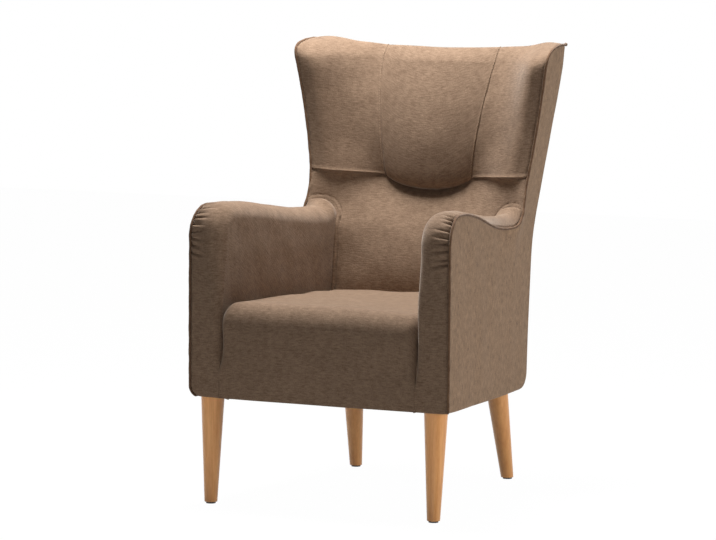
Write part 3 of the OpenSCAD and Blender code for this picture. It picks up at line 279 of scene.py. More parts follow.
def dressNodes():
    kinds = (("leg_plates", steelMaterial), ("leg_", legMaterial), ("glides", glideMaterial),
             ("side_board", boardMaterial), ("back_board", boardMaterial), ("spring_pad", feltMaterial),
             ("back_webbing", strapMaterial), ("dust_cover", underMaterial), ("dust_staples", steelMaterial),
             ("hanger", steelMaterial), ("plate_screws", steelMaterial), ("frame_screws", steelMaterial),
             ("seat_springs", steelMaterial), ("spring_clips", steelMaterial))
    for name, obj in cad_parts.items():
        material = next((m for start, m in kinds if name.startswith(start)), frameMaterial)
        if "foam" in name:
            material = foamMaterial
        if not obj.material_slots:
            obj.data.materials.append(material)
        for slot in obj.material_slots:
            slot.material = material


dressNodes()


# curve helpers, for numbers and arrays alike
def lerp(a, b, t):
    return a + (b - a)*t


def clamp01(t):
    return np.clip(t, 0.0, 1.0)


def ease(t):
    c = clamp01(t)
    return c*c*(3 - 2*c)


def sinD(a):
    return np.sin(np.radians(a))


def cosD(a):
    return np.cos(np.radians(a))


def look(x, pairs):
    xs, ys = zip(*pairs)
    return np.interp(x, xs, ys)


def smoothLook(x, pairs):
    xs, ys = (np.array(c, float) for c in zip(*pairs))
    h = np.diff(xs)
    d = np.diff(ys)/h
    m = np.zeros(len(xs))
    m[0], m[-1] = d[0], d[-1]
    same = d[:-1]*d[1:] > 0
    m[1:-1] = np.where(same, 2*d[:-1]*d[1:]/np.where(same, d[:-1] + d[1:], 1), 0)
    x = np.clip(x, xs[0], xs[-1])
    i = np.clip(np.searchsorted(xs, x, side="right") - 1, 0, len(h) - 1)
    t = (x - xs[i])/h[i]
    a, b = 2*t**3 - 3*t**2 + 1, t**3 - 2*t**2 + t
    return a*ys[i] + b*h[i]*m[i] + (1 - a)*ys[i + 1] + (t**3 - t**2)*h[i]*m[i + 1]


def bezier(p, t):
    t = np.asarray(t)[..., None]
    p = [np.array(q, float) for q in p]
    return (1 - t)**3*p[0] + 3*t*(1 - t)**2*p[1] + 3*t*t*(1 - t)*p[2] + t**3*p[3]


def matched(*values):
    return np.broadcast_arrays(*(np.asarray(v, float) for v in values))


def pair(a, b):
    return np.stack(matched(a, b), axis=-1)


def triple(x, y, z):
    return np.stack(matched(x, y, z), axis=-1)


def unit(v):
    return v/np.maximum(np.linalg.norm(v, axis=-1, keepdims=True), 1e-9)


# the chair's form in millimetres, as the frame has it
shape = {
    "halfWidth": 318.0, "frontReach": 355.0, "baseFrontH": 245.0, "baseRearH": 220.0, "taper": 0.113,
    "rearCornerR": 46.0, "armH": 675.0, "noseR": 70.0, "dipH": 615.0, "dipY": 105.0, "armInHalf": 240.0,
    "armInTaper": 0.075, "armEdgeR": 38.0, "armCrown": 27.0, "wingFootH": 729.0, "wingFootY": 196.0,
    "wingMidY": 207.0, "wingTipH": 979.0, "wingTipY": 200.0, "wingTopH": 1028.0, "backTopH": 1013.0,
    "flare": 0.156, "flareH": 580.0, "flareBlend": 40.0, "rearLowY": 293.0, "rearHighY": 366.0,
    "rearPower": 1.1, "rearOver": 8.0, "rearOverShare": 0.09, "rearLip": 14.0, "lipPower": 16, "lipLow": 5.7,
    "panelTopLow": 6.0, "wingTopReach": 89.0, "seamSag": 43.0, "headSwell": 20.0, "headHalf": 110.0,
    "hipOut": 12.5, "hipY": 140.0, "hipH": 632.0, "hipLong": 45.0, "hipTall": 38.0, "seatFrontH": 453.0,
    "seatRearH": 443.0, "seatCrown": 10.0, "seatEdgeR": 44.0, "pipingR": 3.0,
}
sides = (1.0, -1.0)
forwards = np.array([0.0, -1.0, 0.0])
frontY = -shape["frontReach"]
rearLowZ = shape["baseRearH"] + shape["rearCornerR"]
rearHighZ = shape["backTopH"] - shape["rearCornerR"]
rearRise = shape["rearHighY"] - shape["rearLowY"]
rearTopY = shape["rearHighY"] - shape["rearLip"]
noseC = (frontY + shape["noseR"], shape["armH"] - shape["noseR"])
edgeRoom = 3.4


def sideX(y, z):
    d = z - shape["flareH"]
    hip = np.exp(-0.5*(((y - shape["hipY"])/shape["hipLong"])**2 + ((z - shape["hipH"])/shape["hipTall"])**2))
    out = shape["halfWidth"] - shape["taper"]*(y - frontY) + shape["hipOut"]*hip
    return out + shape["flare"]*(d + np.hypot(d, shape["flareBlend"]))/2*ease(y/shape["wingFootY"])


def innerX(y):
    return shape["armInHalf"] - shape["armInTaper"]*(y - frontY)


def rearY(z):
    rise = np.maximum(0, z - rearLowZ)/(rearHighZ - rearLowZ)
    over = np.maximum(0, z - rearHighZ)/(shape["backTopH"] - rearHighZ)
    lean = shape["rearLowY"] + rearRise*rise**shape["rearPower"]
    return lean - (shape["rearOver"] + rearRise*shape["rearOverShare"])*over**2


def rearEdgeY(z):
    rise = clamp01((z - rearLowZ)/(shape["wingTopH"] - shape["lipLow"] - rearLowZ))
    return lerp(rearY(np.minimum(z, shape["backTopH"])), rearTopY, rise**shape["lipPower"])


# how far a parameter has come along the run from one whole number to the next
def runShare(s, k):
    return np.clip(s, k, k + 1) - k


def edgePt(s):
    s = np.asarray(s, float)
    c = shape
    midH = c["wingTipH"] - (c["wingTipH"] - c["wingFootH"])*0.44
    bow = (c["wingMidY"] - c["wingTipY"])/(c["wingTipH"] - midH)**2
    footFit = c["wingMidY"] - bow*(c["wingFootH"] - midH)**2
    turn = 90*runShare(s, 1)
    armS = runShare(s, 2)
    wingZ = lerp(c["wingFootH"], c["wingTipH"], runShare(s, 4))
    topY = c["wingTipY"] + c["wingTopReach"]
    runs = (
        pair(frontY, lerp(c["baseFrontH"], noseC[1], runShare(s, 0))),
        pair(noseC[0] - c["noseR"]*cosD(turn), noseC[1] + c["noseR"]*sinD(turn)),
        pair(lerp(noseC[0], c["dipY"], armS),
             c["dipH"] + (c["armH"] - c["dipH"])*(1 + cosD(180*armS**1.1))/2),
        bezier([(c["dipY"], c["dipH"]), (c["dipY"] + 70, c["dipH"]),
                (c["wingFootY"] - 16, c["wingFootH"] - 57), (c["wingFootY"], c["wingFootH"])],
               runShare(s, 3)),
        pair(c["wingMidY"] - bow*(wingZ - midH)**2
             + (c["wingFootY"] - footFit)*(5 - np.clip(s, 4, 5))**3, wingZ),
        bezier([(c["wingTipY"], c["wingTipH"]), (c["wingTipY"] - 4, c["wingTipH"] + 34),
                (c["wingTipY"] + 34, c["wingTopH"] - 8), (topY, c["wingTopH"])], runShare(s, 5)),
        pair(lerp(topY, rearTopY, runShare(s, 6)), c["wingTopH"]),
    )
    which = np.clip(np.floor(s).astype(int), 0, 6)
    return np.choose(which[..., None], runs)


def edgeN(s):
    d = unit(edgePt(np.minimum(7, s + 0.02)) - edgePt(np.maximum(0, s - 0.02)))
    return pair(-d[..., 1], d[..., 0])


baseLen = shape["rearLowY"] - shape["rearCornerR"] - frontY


def baseZ(y):
    return shape["baseFrontH"] - (shape["baseFrontH"] - shape["baseRearH"])*(y - frontY)/baseLen


def basePt(q):
    q = np.asarray(q, float)
    y0, r = shape["rearLowY"] - shape["rearCornerR"], shape["rearCornerR"]
    z = lerp(rearLowZ, shape["wingTopH"] - shape["panelTopLow"], runShare(q, 2))
    turn = 90*runShare(q, 1)
    low = runShare(q, 0)
    runs = (
        pair(lerp(frontY, y0, low), lerp(shape["baseFrontH"], shape["baseRearH"], low)),
        pair(y0 + r*sinD(turn), rearLowZ - r*cosD(turn)),
        pair(rearEdgeY(z), z),
    )
    return np.choose(np.clip(np.floor(q).astype(int), 0, 2)[..., None], runs)


# mesh helpers: a grid is an array of rows by columns of points
def arcAlong(grid, axis):
    step = np.linalg.norm(np.diff(grid, axis=axis), axis=-1)
    start = np.zeros_like(np.take(step, [0], axis=axis))
    return np.concatenate([start, np.cumsum(step, axis=axis)], axis=axis)


def gridNormals(grid):
    return unit(np.cross(np.gradient(grid, axis=0), np.gradient(grid, axis=1)))


# the normals, all turned over if the one at a row and column points against the wanted way
def facing(grid, row, col, wanted):
    n = gridNormals(grid)
    return -n if n[row, col] @ np.array(wanted) < 0 else n


def ripple(points, size, seed, waves=14):
    rng = np.random.default_rng(seed)
    turns = unit(rng.normal(size=(waves, 3)))*(2*math.pi/size)*rng.uniform(0.6, 1.5, (waves, 1))
    starts = rng.uniform(0, 2*math.pi, waves)
    return np.sin(points @ turns.T + starts).sum(axis=-1)/math.sqrt(waves/2)


def spaced(n, low=0.0, high=1.0, ends=0.6):
    x = np.linspace(0, 1, n)
    return lerp(low, high, lerp(x, (1 - np.cos(math.pi*x))/2, ends))


# evenly spaced runs joined end to end, each from one value to the next with its count
def joined(*runs):
    parts = [np.linspace(*run) for run in runs]
    return np.concatenate([parts[0]] + [part[1:] for part in parts[1:]])


def fading(distance, width):
    return np.exp(-(distance/width)**1.5)


# an edge turns in to its seam, and a little ridge beside it stands out where the allowance lies under it
def tucked(grid, n, edges, depth, width, ridge=0.0, ridgeAt=3.2, ridgeWide=1.9):
    down, along = arcAlong(grid, 0), arcAlong(grid, 1)
    ways = {"top": down, "bottom": down[-1:] - down, "first": along, "last": along[:, -1:] - along}
    drop = sum(depth*fading(ways[e], width) - ridge*np.exp(-((ways[e] - ridgeAt)/ridgeWide)**2)
               for e in edges)
    return grid - n*drop[..., None]


def relaxed(grid, rounds):
    grid = grid.copy()
    for _ in range(rounds):
        around = grid[:-2, 1:-1] + grid[2:, 1:-1] + grid[1:-1, :-2] + grid[1:-1, 2:]
        grid[1:-1, 1:-1] = lerp(grid[1:-1, 1:-1], around/4, 0.8)
    return grid


def gridFaces(rows, cols, start=0):
    k = (np.arange(rows - 1)[:, None]*cols + np.arange(cols - 1)[None]).ravel() + start
    return np.stack([k, k + 1, k + cols + 1, k + cols], axis=1)


def addMesh(name, points, faces, material, clothUv=None, side=1.0):
    points = np.array(points, float)*mm
    points[:, 0] *= side
    mesh = bpy.data.meshes.new(name)
    mesh.from_pydata(points.tolist(), [], [list(map(int, f)) for f in faces])
    if clothUv is not None:
        layer = mesh.uv_layers.new(name="cloth")
        index = np.zeros(len(mesh.loops), np.int32)
        mesh.loops.foreach_get("vertex_index", index)
        layer.data.foreach_set("uv", (np.asarray(clothUv)[index]*mm).astype(np.float32).ravel())
    b = bmesh.new()
    b.from_mesh(mesh)
    bmesh.ops.recalc_face_normals(b, faces=b.faces)
    b.to_mesh(mesh)
    b.free()
    mesh.polygons.foreach_set("use_smooth", np.ones(len(mesh.polygons), bool))
    mesh.set_sharp_from_angle(angle=math.radians(52))
    mesh.materials.append(material)
    return linked(name, mesh)


# a closed form from its outer and inner grids, with the cloth's own length along and across as UVs
def addShell(name, outer, inner, material, side=1.0, uv=None):
    rows, cols = outer.shape[:2]
    count = rows*cols
    front = gridFaces(rows, cols)
    back = gridFaces(rows, cols, count)[:, ::-1]
    ring = np.concatenate([np.arange(cols), np.arange(1, rows)*cols + cols - 1,
                           (rows - 1)*cols + np.arange(cols - 2, -1, -1), np.arange(rows - 2, 0, -1)*cols])
    after = np.roll(ring, -1)
    rim = np.stack([after, ring, ring + count, after + count], axis=1)
    if uv is None:
        along = arcAlong(outer, 1)
        uv = pair(along - along[:, cols//2][:, None], arcAlong(outer, 0))
    uv = uv.reshape(-1, 2)
    faces = np.concatenate([front, back, rim])
    points = np.concatenate([outer.reshape(-1, 3), inner.reshape(-1, 3)])
    return addMesh(name, points, faces, material, np.concatenate([uv, uv]), side)


def placed(obj, slot, *nodes):
    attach(obj, "root")
    if nodes:
        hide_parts(*nodes)
    return obj


def sideName(side):
    return "right" if side > 0 else "left"


rimFade = {"turn": 25.0, "thicken": 40.0}


# the inner side of a padded shell, thinner towards its edges, where it lies along the way the seam goes in
def softInner(outer, n, thick, rim, out=None):
    down, along = arcAlong(outer, 0), arcAlong(outer, 1)
    near = np.minimum(np.minimum(down, down[-1:] - down), np.minimum(along, along[:, -1:] - along))
    way = n if out is None else unit(lerp(out, n, ease(near/rimFade["turn"])[..., None]))
    return outer - way*lerp(rim, thick, ease(near/rimFade["thicken"]))[..., None]


def upholster(name, outer, inner, nodes, side=1.0, uv=None):
    obj = addShell(name, outer, inner, clothMaterial, side, uv)
    placed(obj, "cover_fabric", *nodes)


# the bottom corner by the left front leg is drawn in round, as the piping turns under there
corner = {"leftRound": 24.0, "rightRound": 5.0, "reach": 60.0, "fade": 50.0}


def cornerIn(x, y, z, side):
    r = corner["leftRound"] if side < 0 else corner["rightRound"]
    d = clamp01((r - (z - baseZ(y)))/r)
    near = ease((frontY + corner["reach"] - y)/corner["fade"])
    return x - r*(1 - np.sqrt(np.maximum(0, 1 - d*d)))*near


# the left wing's tip stands a little fuller than the right one
wingTip = {"leftRise": 8.0, "leftOut": 5.0, "at": 5.25, "spread": 0.85}


def tipShift(s, side):
    k = np.exp(-((s - wingTip["at"])/wingTip["spread"])**2)*(side < 0)
    return triple(wingTip["leftOut"]*k, 0*k, wingTip["leftRise"]*k)


# inside arms, with gathers that fan out from the piping over the nose
arm = {
    "endS": 3.5, "endY": 150.0, "tuckZ": 425.0, "tuckIn": 25.0, "tuckShallow": 6.0, "creaseTopH": 345.0,
    "creaseEndH": 284.0, "creaseR": 17.0, "pleats": 13, "pleatFrom": 0.9, "pleatTo": 2.1, "pleatDepth": 5.6,
    "pleatWidth": 2.0, "pleatLong": 54.0, "padThick": 8.0, "wave": 0.5, "seamDeep": 1.2, "seamWide": 2.6,
    "endRound": 8.0, "tail": (2.0, 5.0, 9.0, 14.0), "tailSink": 0.12, "turnFrom": 2.3, "turnOver": 0.5,
    "tuckFrom": 88.2, "tuckOver": 60.0, "edgeDeep": 3.0, "edgeWide": 3.6, "rim": 2.4, "waveSize": 90.0,
}
apron = {"out": 9.0, "power": 2.2}


def creaseShare(z):
    return ease((z - arm["creaseEndH"])/(arm["creaseTopH"] - arm["creaseEndH"]))


# how far the one-piece front stands out of its flat plane
def apronOut(x):
    return apron["out"]*(1 - np.minimum(1, np.abs(x)/(shape["halfWidth"] - edgeRoom))**apron["power"])


def armN(s):
    upright = ease((s - arm["turnFrom"])/arm["turnOver"])
    return unit(lerp(edgeN(s), np.array([0.0, 1.0]), upright[..., None]))


def tuckPt(s):
    zLow = lerp(shape["baseFrontH"], arm["tuckZ"], np.minimum(s, 0.5)*2)
    deep = ease((zLow - shape["baseFrontH"] - arm["tuckFrom"])/arm["tuckOver"])
    yLow = frontY + lerp(arm["tuckShallow"], arm["tuckIn"], deep)
    yHigh = lerp(frontY + arm["tuckIn"], arm["endY"],
                 smoothLook(s, ((0.5, 0), (1, 0.06), (2, 0.27), (3, 0.81), (3.5, 1))))
    return pair(np.where(s < 0.5, yLow, yHigh), zLow)


def armPt(s, t):
    s, t = matched(s, t)
    p, n = edgePt(s), armN(s)
    seatH = shape["seatRearH"]
    rLow = lerp(lerp(0.3, arm["creaseR"], creaseShare(p[..., 1])), shape["armEdgeR"],
                ease((p[..., 1] - seatH)/(noseC[1] - seatH)))
    r = np.where(s > 1, shape["armEdgeR"] + arm["endRound"]*ease((s - 2.7)/0.8), rLow)
    crown = shape["armCrown"]*smoothLook(s, ((0, 0.1), (1, 0.2), (2.2, 0.2), (3, 1), (3.25, 0.7), (3.5, 0.2)))
    a, c, f = clamp01(t/0.3), clamp01((t - 0.3)/0.3), clamp01((t - 0.6)/0.4)
    h = np.where(t < 0.3, crown*sinD(90*a), crown - r*(1 - cosD(90*c)))
    top = p + n*h[..., None]
    low = np.where(f[..., None] > 0, lerp(top, tuckPt(s), f[..., None]), top)
    outer = sideX(p[..., 0], p[..., 1]) - edgeRoom
    inner = innerX(low[..., 0])
    x = np.where(t < 0.3, lerp(outer, inner + r, a), inner + r*(1 - sinD(90*c)))
    plain = (1 - creaseShare(p[..., 1]))*(s < 0.6)*(f <= 0)
    y = lerp(low[..., 0], frontY - apronOut(x), plain)
    return triple(x, y, low[..., 1])


# the way in which the seam between arm and lumbar panel faces, from the outer edge over the arm and down
def armSeamOut(t):
    turn = 90*clamp01((np.asarray(t) - 0.3)/0.3)
    return unit(triple(-sinD(turn), -0.9, cosD(turn)))


def makeArm(side):
    name = sideName(side)
    s = joined((0, 0.85, 90), (0.85, 2.2, 250), (2.2, 3.5, 110))
    t = np.concatenate([0.3*spaced(34, ends=0.5), joined((0.3, 0.6, 24), (0.6, 1, 22))[1:]])
    grid = armPt(s[:, None], t[None])
    n = gridNormals(grid)
    rng = np.random.default_rng(40 + int(side))
    edgeLen = arcAlong(grid, 0)[:, :1]
    across = arcAlong(grid, 1)
    ends = np.interp((arm["pleatFrom"], arm["pleatTo"]), s, edgeLen[:, 0])
    drop = np.zeros(grid.shape[:2])
    step = (ends[1] - ends[0])/(arm["pleats"] - 1)
    for k in range(arm["pleats"]):
        at = ends[0] + step*(k + rng.uniform(-0.28, 0.28))
        long = arm["pleatLong"]*rng.uniform(0.6, 1.1)
        slant = rng.uniform(-0.12, 0.12) + 0.1*(k/arm["pleats"] - 0.4)
        wide = arm["pleatWidth"]*rng.uniform(0.75, 1.3)*(1 + across/60)
        deep = arm["pleatDepth"]*rng.uniform(0.6, 1.1)
        fade = (1 - ease(across/long))*ease((across + 4)/8)
        gap = (edgeLen - at - slant*across)/wide
        drop += deep*fade*(np.exp(-np.abs(gap)**1.2) - 0.4*np.exp(-((gap + 2.4)/1.5)**2))
    soft = arm["wave"]*ripple(grid, arm["waveSize"], 11 + int(side))*ease(across/30)
    grid = grid - n*(drop - soft*0.6)[..., None]
    grid = tucked(grid, n, ("first",), arm["edgeDeep"], arm["edgeWide"])
    out = armSeamOut(t)[None]
    fromEnd = arcAlong(grid, 0)[-1:] - arcAlong(grid, 0)
    groove = arm["seamDeep"]*fading(fromEnd, arm["seamWide"])
    grid = grid - out*groove[..., None]
    grid[..., 0] = cornerIn(grid[..., 0], grid[..., 1], grid[..., 2], side)
    flat = out*np.array([1.0, 0.0, 1.0])
    tail = [grid[-1:] + np.array([0.0, d, 0.0]) - flat*d*arm["tailSink"] for d in arm["tail"]]
    grid = np.concatenate([grid] + tail)
    inner = softInner(grid, gridNormals(grid), arm["padThick"], arm["rim"])
    upholster("insideArm_" + name, grid, inner, ("inside_arm_cover_" + name, "arm_foam_" + name), side)


for side in sides:
    makeArm(side)
print("arms made")


# the upper inside back: a full middle panel and two wings, rolled over the top
head = {"swellShares": ((0, 0), (0.012, 0.5), (0.035, 0.85), (0.08, 1), (0.16, 1.03), (0.35, 1), (0.6, 0.8),
                        (1, 0.3), (1.5, 0), (2, 0)),
        "seamInH": 711.0, "rollH": 30.0, "seamTopY": 317.0, "seamLowY": 259.0, "padThick": 14.0,
        "seamDeep": 1.1, "seamWide": 2.6, "ridge": 0.9, "rim": 7.0, "wave": 0.3, "waveSize": 100.0,
        "spread": 0.128, "lipLow": 16.0, "crestRise": 3.0, "crestDip": 3.0, "stitchIn": 3.0,
        "sagLess": 12.0, "sagPower": 0.75,
        "sidePowers": ((0, 0.75), (0.15, 0.95), (0.4, 1.4), (1, 1.4)), "leanPower": 2.3, "crestY": 350.0,
        "allSwell": 8.0, "allShares": ((0, 0), (0.02, 0.3), (0.06, 0.6), (0.15, 0.86), (0.34, 1), (0.6, 0.8),
                                        (1, 0.3), (1.3, 0), (2, 0))}
rollZ = shape["backTopH"] - head["rollH"]


def headX(z):
    return shape["headHalf"] + head["spread"]*(z - head["seamInH"])


# over the top: on from the leaning front face to the crest, then round and down to the rear lip
def rollPt(t):
    z1, crest = shape["backTopH"] - head["lipLow"], shape["backTopH"] + head["crestRise"]
    y0, y1 = head["seamTopY"], rearY(z1)
    slope = head["leanPower"]*(y0 - head["seamLowY"])/(rollZ - head["seamInH"])
    ym = head["crestY"]
    front = bezier([(y0, rollZ), (y0 + 15*slope, rollZ + 15), (ym - 9, crest), (ym, crest)],
                   np.minimum(1, 2*t))
    rear = bezier([(ym, crest), (lerp(ym, y1, 0.7), crest), (y1, lerp(z1, crest, 0.6)), (y1, z1)],
                  np.maximum(0, 2*t - 1))
    return np.where((t < 0.5)[..., None], front, rear)


def headSeamPt(v):
    v = np.asarray(v, float)
    z = lerp(head["seamInH"], rollZ, np.minimum(1, v))
    lean = clamp01((z - head["seamInH"])/(rollZ - head["seamInH"]))**head["leanPower"]
    roll = rollPt(clamp01(v - 1))
    up = v <= 1
    y = np.where(up, lerp(head["seamLowY"], head["seamTopY"], lean), roll[..., 0])
    y = y - head["allSwell"]*smoothLook(v, head["allShares"])
    return triple(headX(z), y, np.where(up, z, roll[..., 1]))


# the way in which the back's seams face: forwards, then round over the top
def backOut(v):
    turn = 180*clamp01(np.asarray(v, float) - 1)
    return triple(0*turn, -cosD(turn), sinD(turn))[:, None]


wingFootS = 3.965
wingFoot = edgePt(wingFootS)
sideSeamX = sideX(wingFoot[0], wingFoot[1]) - edgeRoom


def seamZ(x):
    a = np.abs(x)/shape["headHalf"]
    sag = head["seamInH"] - (shape["seamSag"] - head["sagLess"])*np.maximum(0, 1 - a*a)**head["sagPower"]
    out = lerp(head["seamInH"], wingFoot[1],
               clamp01((np.abs(x) - shape["headHalf"])/(sideSeamX - shape["headHalf"])))
    return np.where(a < 1, sag, out)


def headPt(u, v):
    u, v = matched(u, v)
    e = headSeamPt(v)
    w = np.maximum(0, 1 - u*u)**look(v, head["sidePowers"])
    over = e[..., 2] - head["crestDip"]*w*sinD(180*(v - 1))
    z = np.where(v < 1, lerp(seamZ(shape["headHalf"]*u), rollZ, v), over)
    return triple((e[..., 0] - 0.2)*u, e[..., 1] - shape["headSwell"]*w*smoothLook(v, head["swellShares"]), z)


stitchPaths = {}


# the line that runs a little way in from a grid's first or last column
def insetPath(grid, edge, distance):
    line = grid if edge == "first" else grid[:, ::-1]
    rows = zip(arcAlong(line, 1), line)
    return np.array([[np.interp(distance, along, row[:, k]) for k in range(3)] for along, row in rows])


def makeHead():
    v = joined((0, 0.12, 26), (0.12, 1, 64), (1, 2, 44))
    u = spaced(110, -1, 1, 0.45)
    grid = headPt(u[None], v[:, None])
    n = facing(grid, 60, 55, forwards)
    grid = grid + n*(head["wave"]*ripple(grid, head["waveSize"], 5))[..., None]
    out = backOut(v)
    grid = tucked(grid, out, ("first",), head["seamDeep"], head["seamWide"])
    grid = tucked(grid, out, ("last",), head["seamDeep"], head["seamWide"], head["ridge"])
    stitchPaths["seam_right"] = (insetPath(grid, "last", head["stitchIn"]), out[:, 0])
    inner = softInner(grid, n, head["padThick"], head["rim"], out)
    upholster("headPanel", grid, inner, ("head_cover", "head_foam"))


makeHead()

wing = {"hollowShares": ((0, 1.4), (0.4, 2.2), (1, 2.1), (1.5, 1.8), (2, 1.6)), "crown": 6.0,
        "padThick": 10.0, "wave": 0.3, "waveSize": 95.0, "edgeDeep": 2.6, "edgeWide": 3.6, "ridge": 2.6,
        "ridgeAt": 4.0, "fellDeep": 1.8, "fellWide": 2.2, "rollFrom": 0.84, "rollFull": 1.0}


def wingEdge(v, side):
    s = np.where(v <= 1, lerp(wingFootS, 5, v), 5 + 2*(v - 1))
    p = edgePt(s)
    return triple(sideX(p[..., 0], p[..., 1]) - edgeRoom, p[..., 0], p[..., 1]) + tipShift(s, side)


# how far forward the wing has come on its way out: it rolls over before the piping
def wingRoll(u, power):
    return sinD(90*clamp01(u/wing["rollFrom"])**power)


def wingPt(u, v, side):
    u, v = matched(u, v)
    a, b = headSeamPt(v), wingEdge(v, side)
    high = ease(v*2 - 1.8)
    plain = u**smoothLook(v, wing["hollowShares"])
    k = lerp(plain, wingRoll(u, smoothLook(v, wing["hollowShares"])), 1 - high)
    bump = wing["crown"]*sinD(180*clamp01((u - 0.4)/0.6)**1.5)
    full = wing["rollFull"]*sinD(180*clamp01((u - 0.5)/0.5)**1.6)
    top = high*clamp01((2 - v)*8)
    x = lerp(a[..., 0], b[..., 0], u)
    y = lerp(a[..., 1], b[..., 1], k) - full*ease(v*3)*(1 - high)
    return triple(x, y, lerp(a[..., 2], b[..., 2], u) + bump*top)


def makeWing(side):
    name = sideName(side)
    v = joined((0, 1, 70), (1, 2, 54))
    u = spaced(84, 0, 1, 0.5)
    grid = wingPt(u[None], v[:, None], side)
    n = facing(grid, 30, 20, forwards)
    grid = grid + n*(wing["wave"]*ripple(grid, wing["waveSize"], 21 + int(side)))[..., None]
    out = backOut(v)
    grid = tucked(grid, n, ("last",), wing["edgeDeep"], wing["edgeWide"])
    grid = tucked(grid, out, ("first",), head["seamDeep"], head["seamWide"], head["ridge"]*(side < 0))
    if side < 0:
        mirror = np.array([-1.0, 1, 1])
        stitchPaths["seam_left"] = (insetPath(grid, "first", head["stitchIn"])*mirror, out[:, 0])
    grid = tucked(grid, out, ("top",), wing["fellDeep"], wing["fellWide"], wing["ridge"], wing["ridgeAt"])
    inner = softInner(grid, n, wing["padThick"], head["rim"], out)
    upholster("wingPanel_" + name, grid, inner, ("wing_cover_" + name, "wing_foam_" + name), side)


for side in sides:
    makeWing(side)
print("head and wings made")


# the lower inside back: its sides run on behind the arms, and above them up to the piping
lumbar = {"lowY": 158.6, "highY": 271.0, "highZ": 711.0, "swell": 12.0, "leanPower": 1.75, "padThick": 15.0,
          "wave": 0.35, "waveSize": 105.0, "seamDeep": 2.4, "seamWide": 3.4, "sagDeep": 8.0, "sagWide": 9.0,
          "smoothRounds": 30, "armIn": 4.0, "armOutFrom": 584.0, "armOutTo": 634.0, "armTopY": 169.0,
          "armTopH": 616.0, "behind": 8.0, "behindFrom": 642.0, "behindOver": 14.0, "fellRidge": 1.6,
          "fellAt": 3.4, "fellWide": 2.0, "stitchAt": 7.5, "stitchDeep": 1.8, "stitchWide": 1.6,
          "edgeFrom": 640.0, "edgeOver": 15.0, "clothRise": 1.15}


def tuckY(a):
    return lerp(lumbar["lowY"], arm["endY"], a**3)


def seamY(x):
    u = clamp01((np.abs(x) - shape["headHalf"])/(sideSeamX - shape["headHalf"]))
    return lerp(head["seamLowY"], wingFoot[0], wingRoll(u, wing["hollowShares"][0][1]))


def lumbarSide(v):
    z = lerp(arm["tuckZ"], wingFoot[1], np.asarray(v, float))
    edge = edgePt(np.linspace(3.35, 4, 80))
    outerY = np.interp(z, edge[:, 1], edge[:, 0])
    rise = clamp01((z - arm["tuckZ"])/(lumbar["armTopH"] - arm["tuckZ"]))
    inY = lerp(arm["endY"], lumbar["armTopY"], rise)
    k = ease((z - lumbar["armOutFrom"])/(lumbar["armOutTo"] - lumbar["armOutFrom"]))
    x = lerp(innerX(arm["endY"]) + lumbar["armIn"], sideX(outerY, z) - edgeRoom, k)
    behind = lumbar["behind"]*(1 - ease((z - lumbar["behindFrom"])/lumbar["behindOver"]))
    return triple(x, lerp(inY + 1.0, outerY + behind, k), z)


def lumbarPt(u, v):
    u, v = matched(u, v)
    e = lumbarSide(v)
    a = np.abs(u)
    x = e[..., 0]*u
    z0 = lerp(arm["tuckZ"], wingFoot[1] - shape["seamSag"], v)
    z = lerp(lerp(z0, e[..., 2], a*a), seamZ(x), v**4)
    rise = clamp01((z - arm["tuckZ"])/(lumbar["highZ"] - arm["tuckZ"]))
    lean = lerp(lumbar["lowY"], lumbar["highY"], rise**lumbar["leanPower"])
    y = lerp(lean - lumbar["swell"]*sinD(180*rise)*(1 - a*a), e[..., 1], a**lerp(3, 2, v))
    return triple(x, lerp(y, seamY(x), v**6), z)


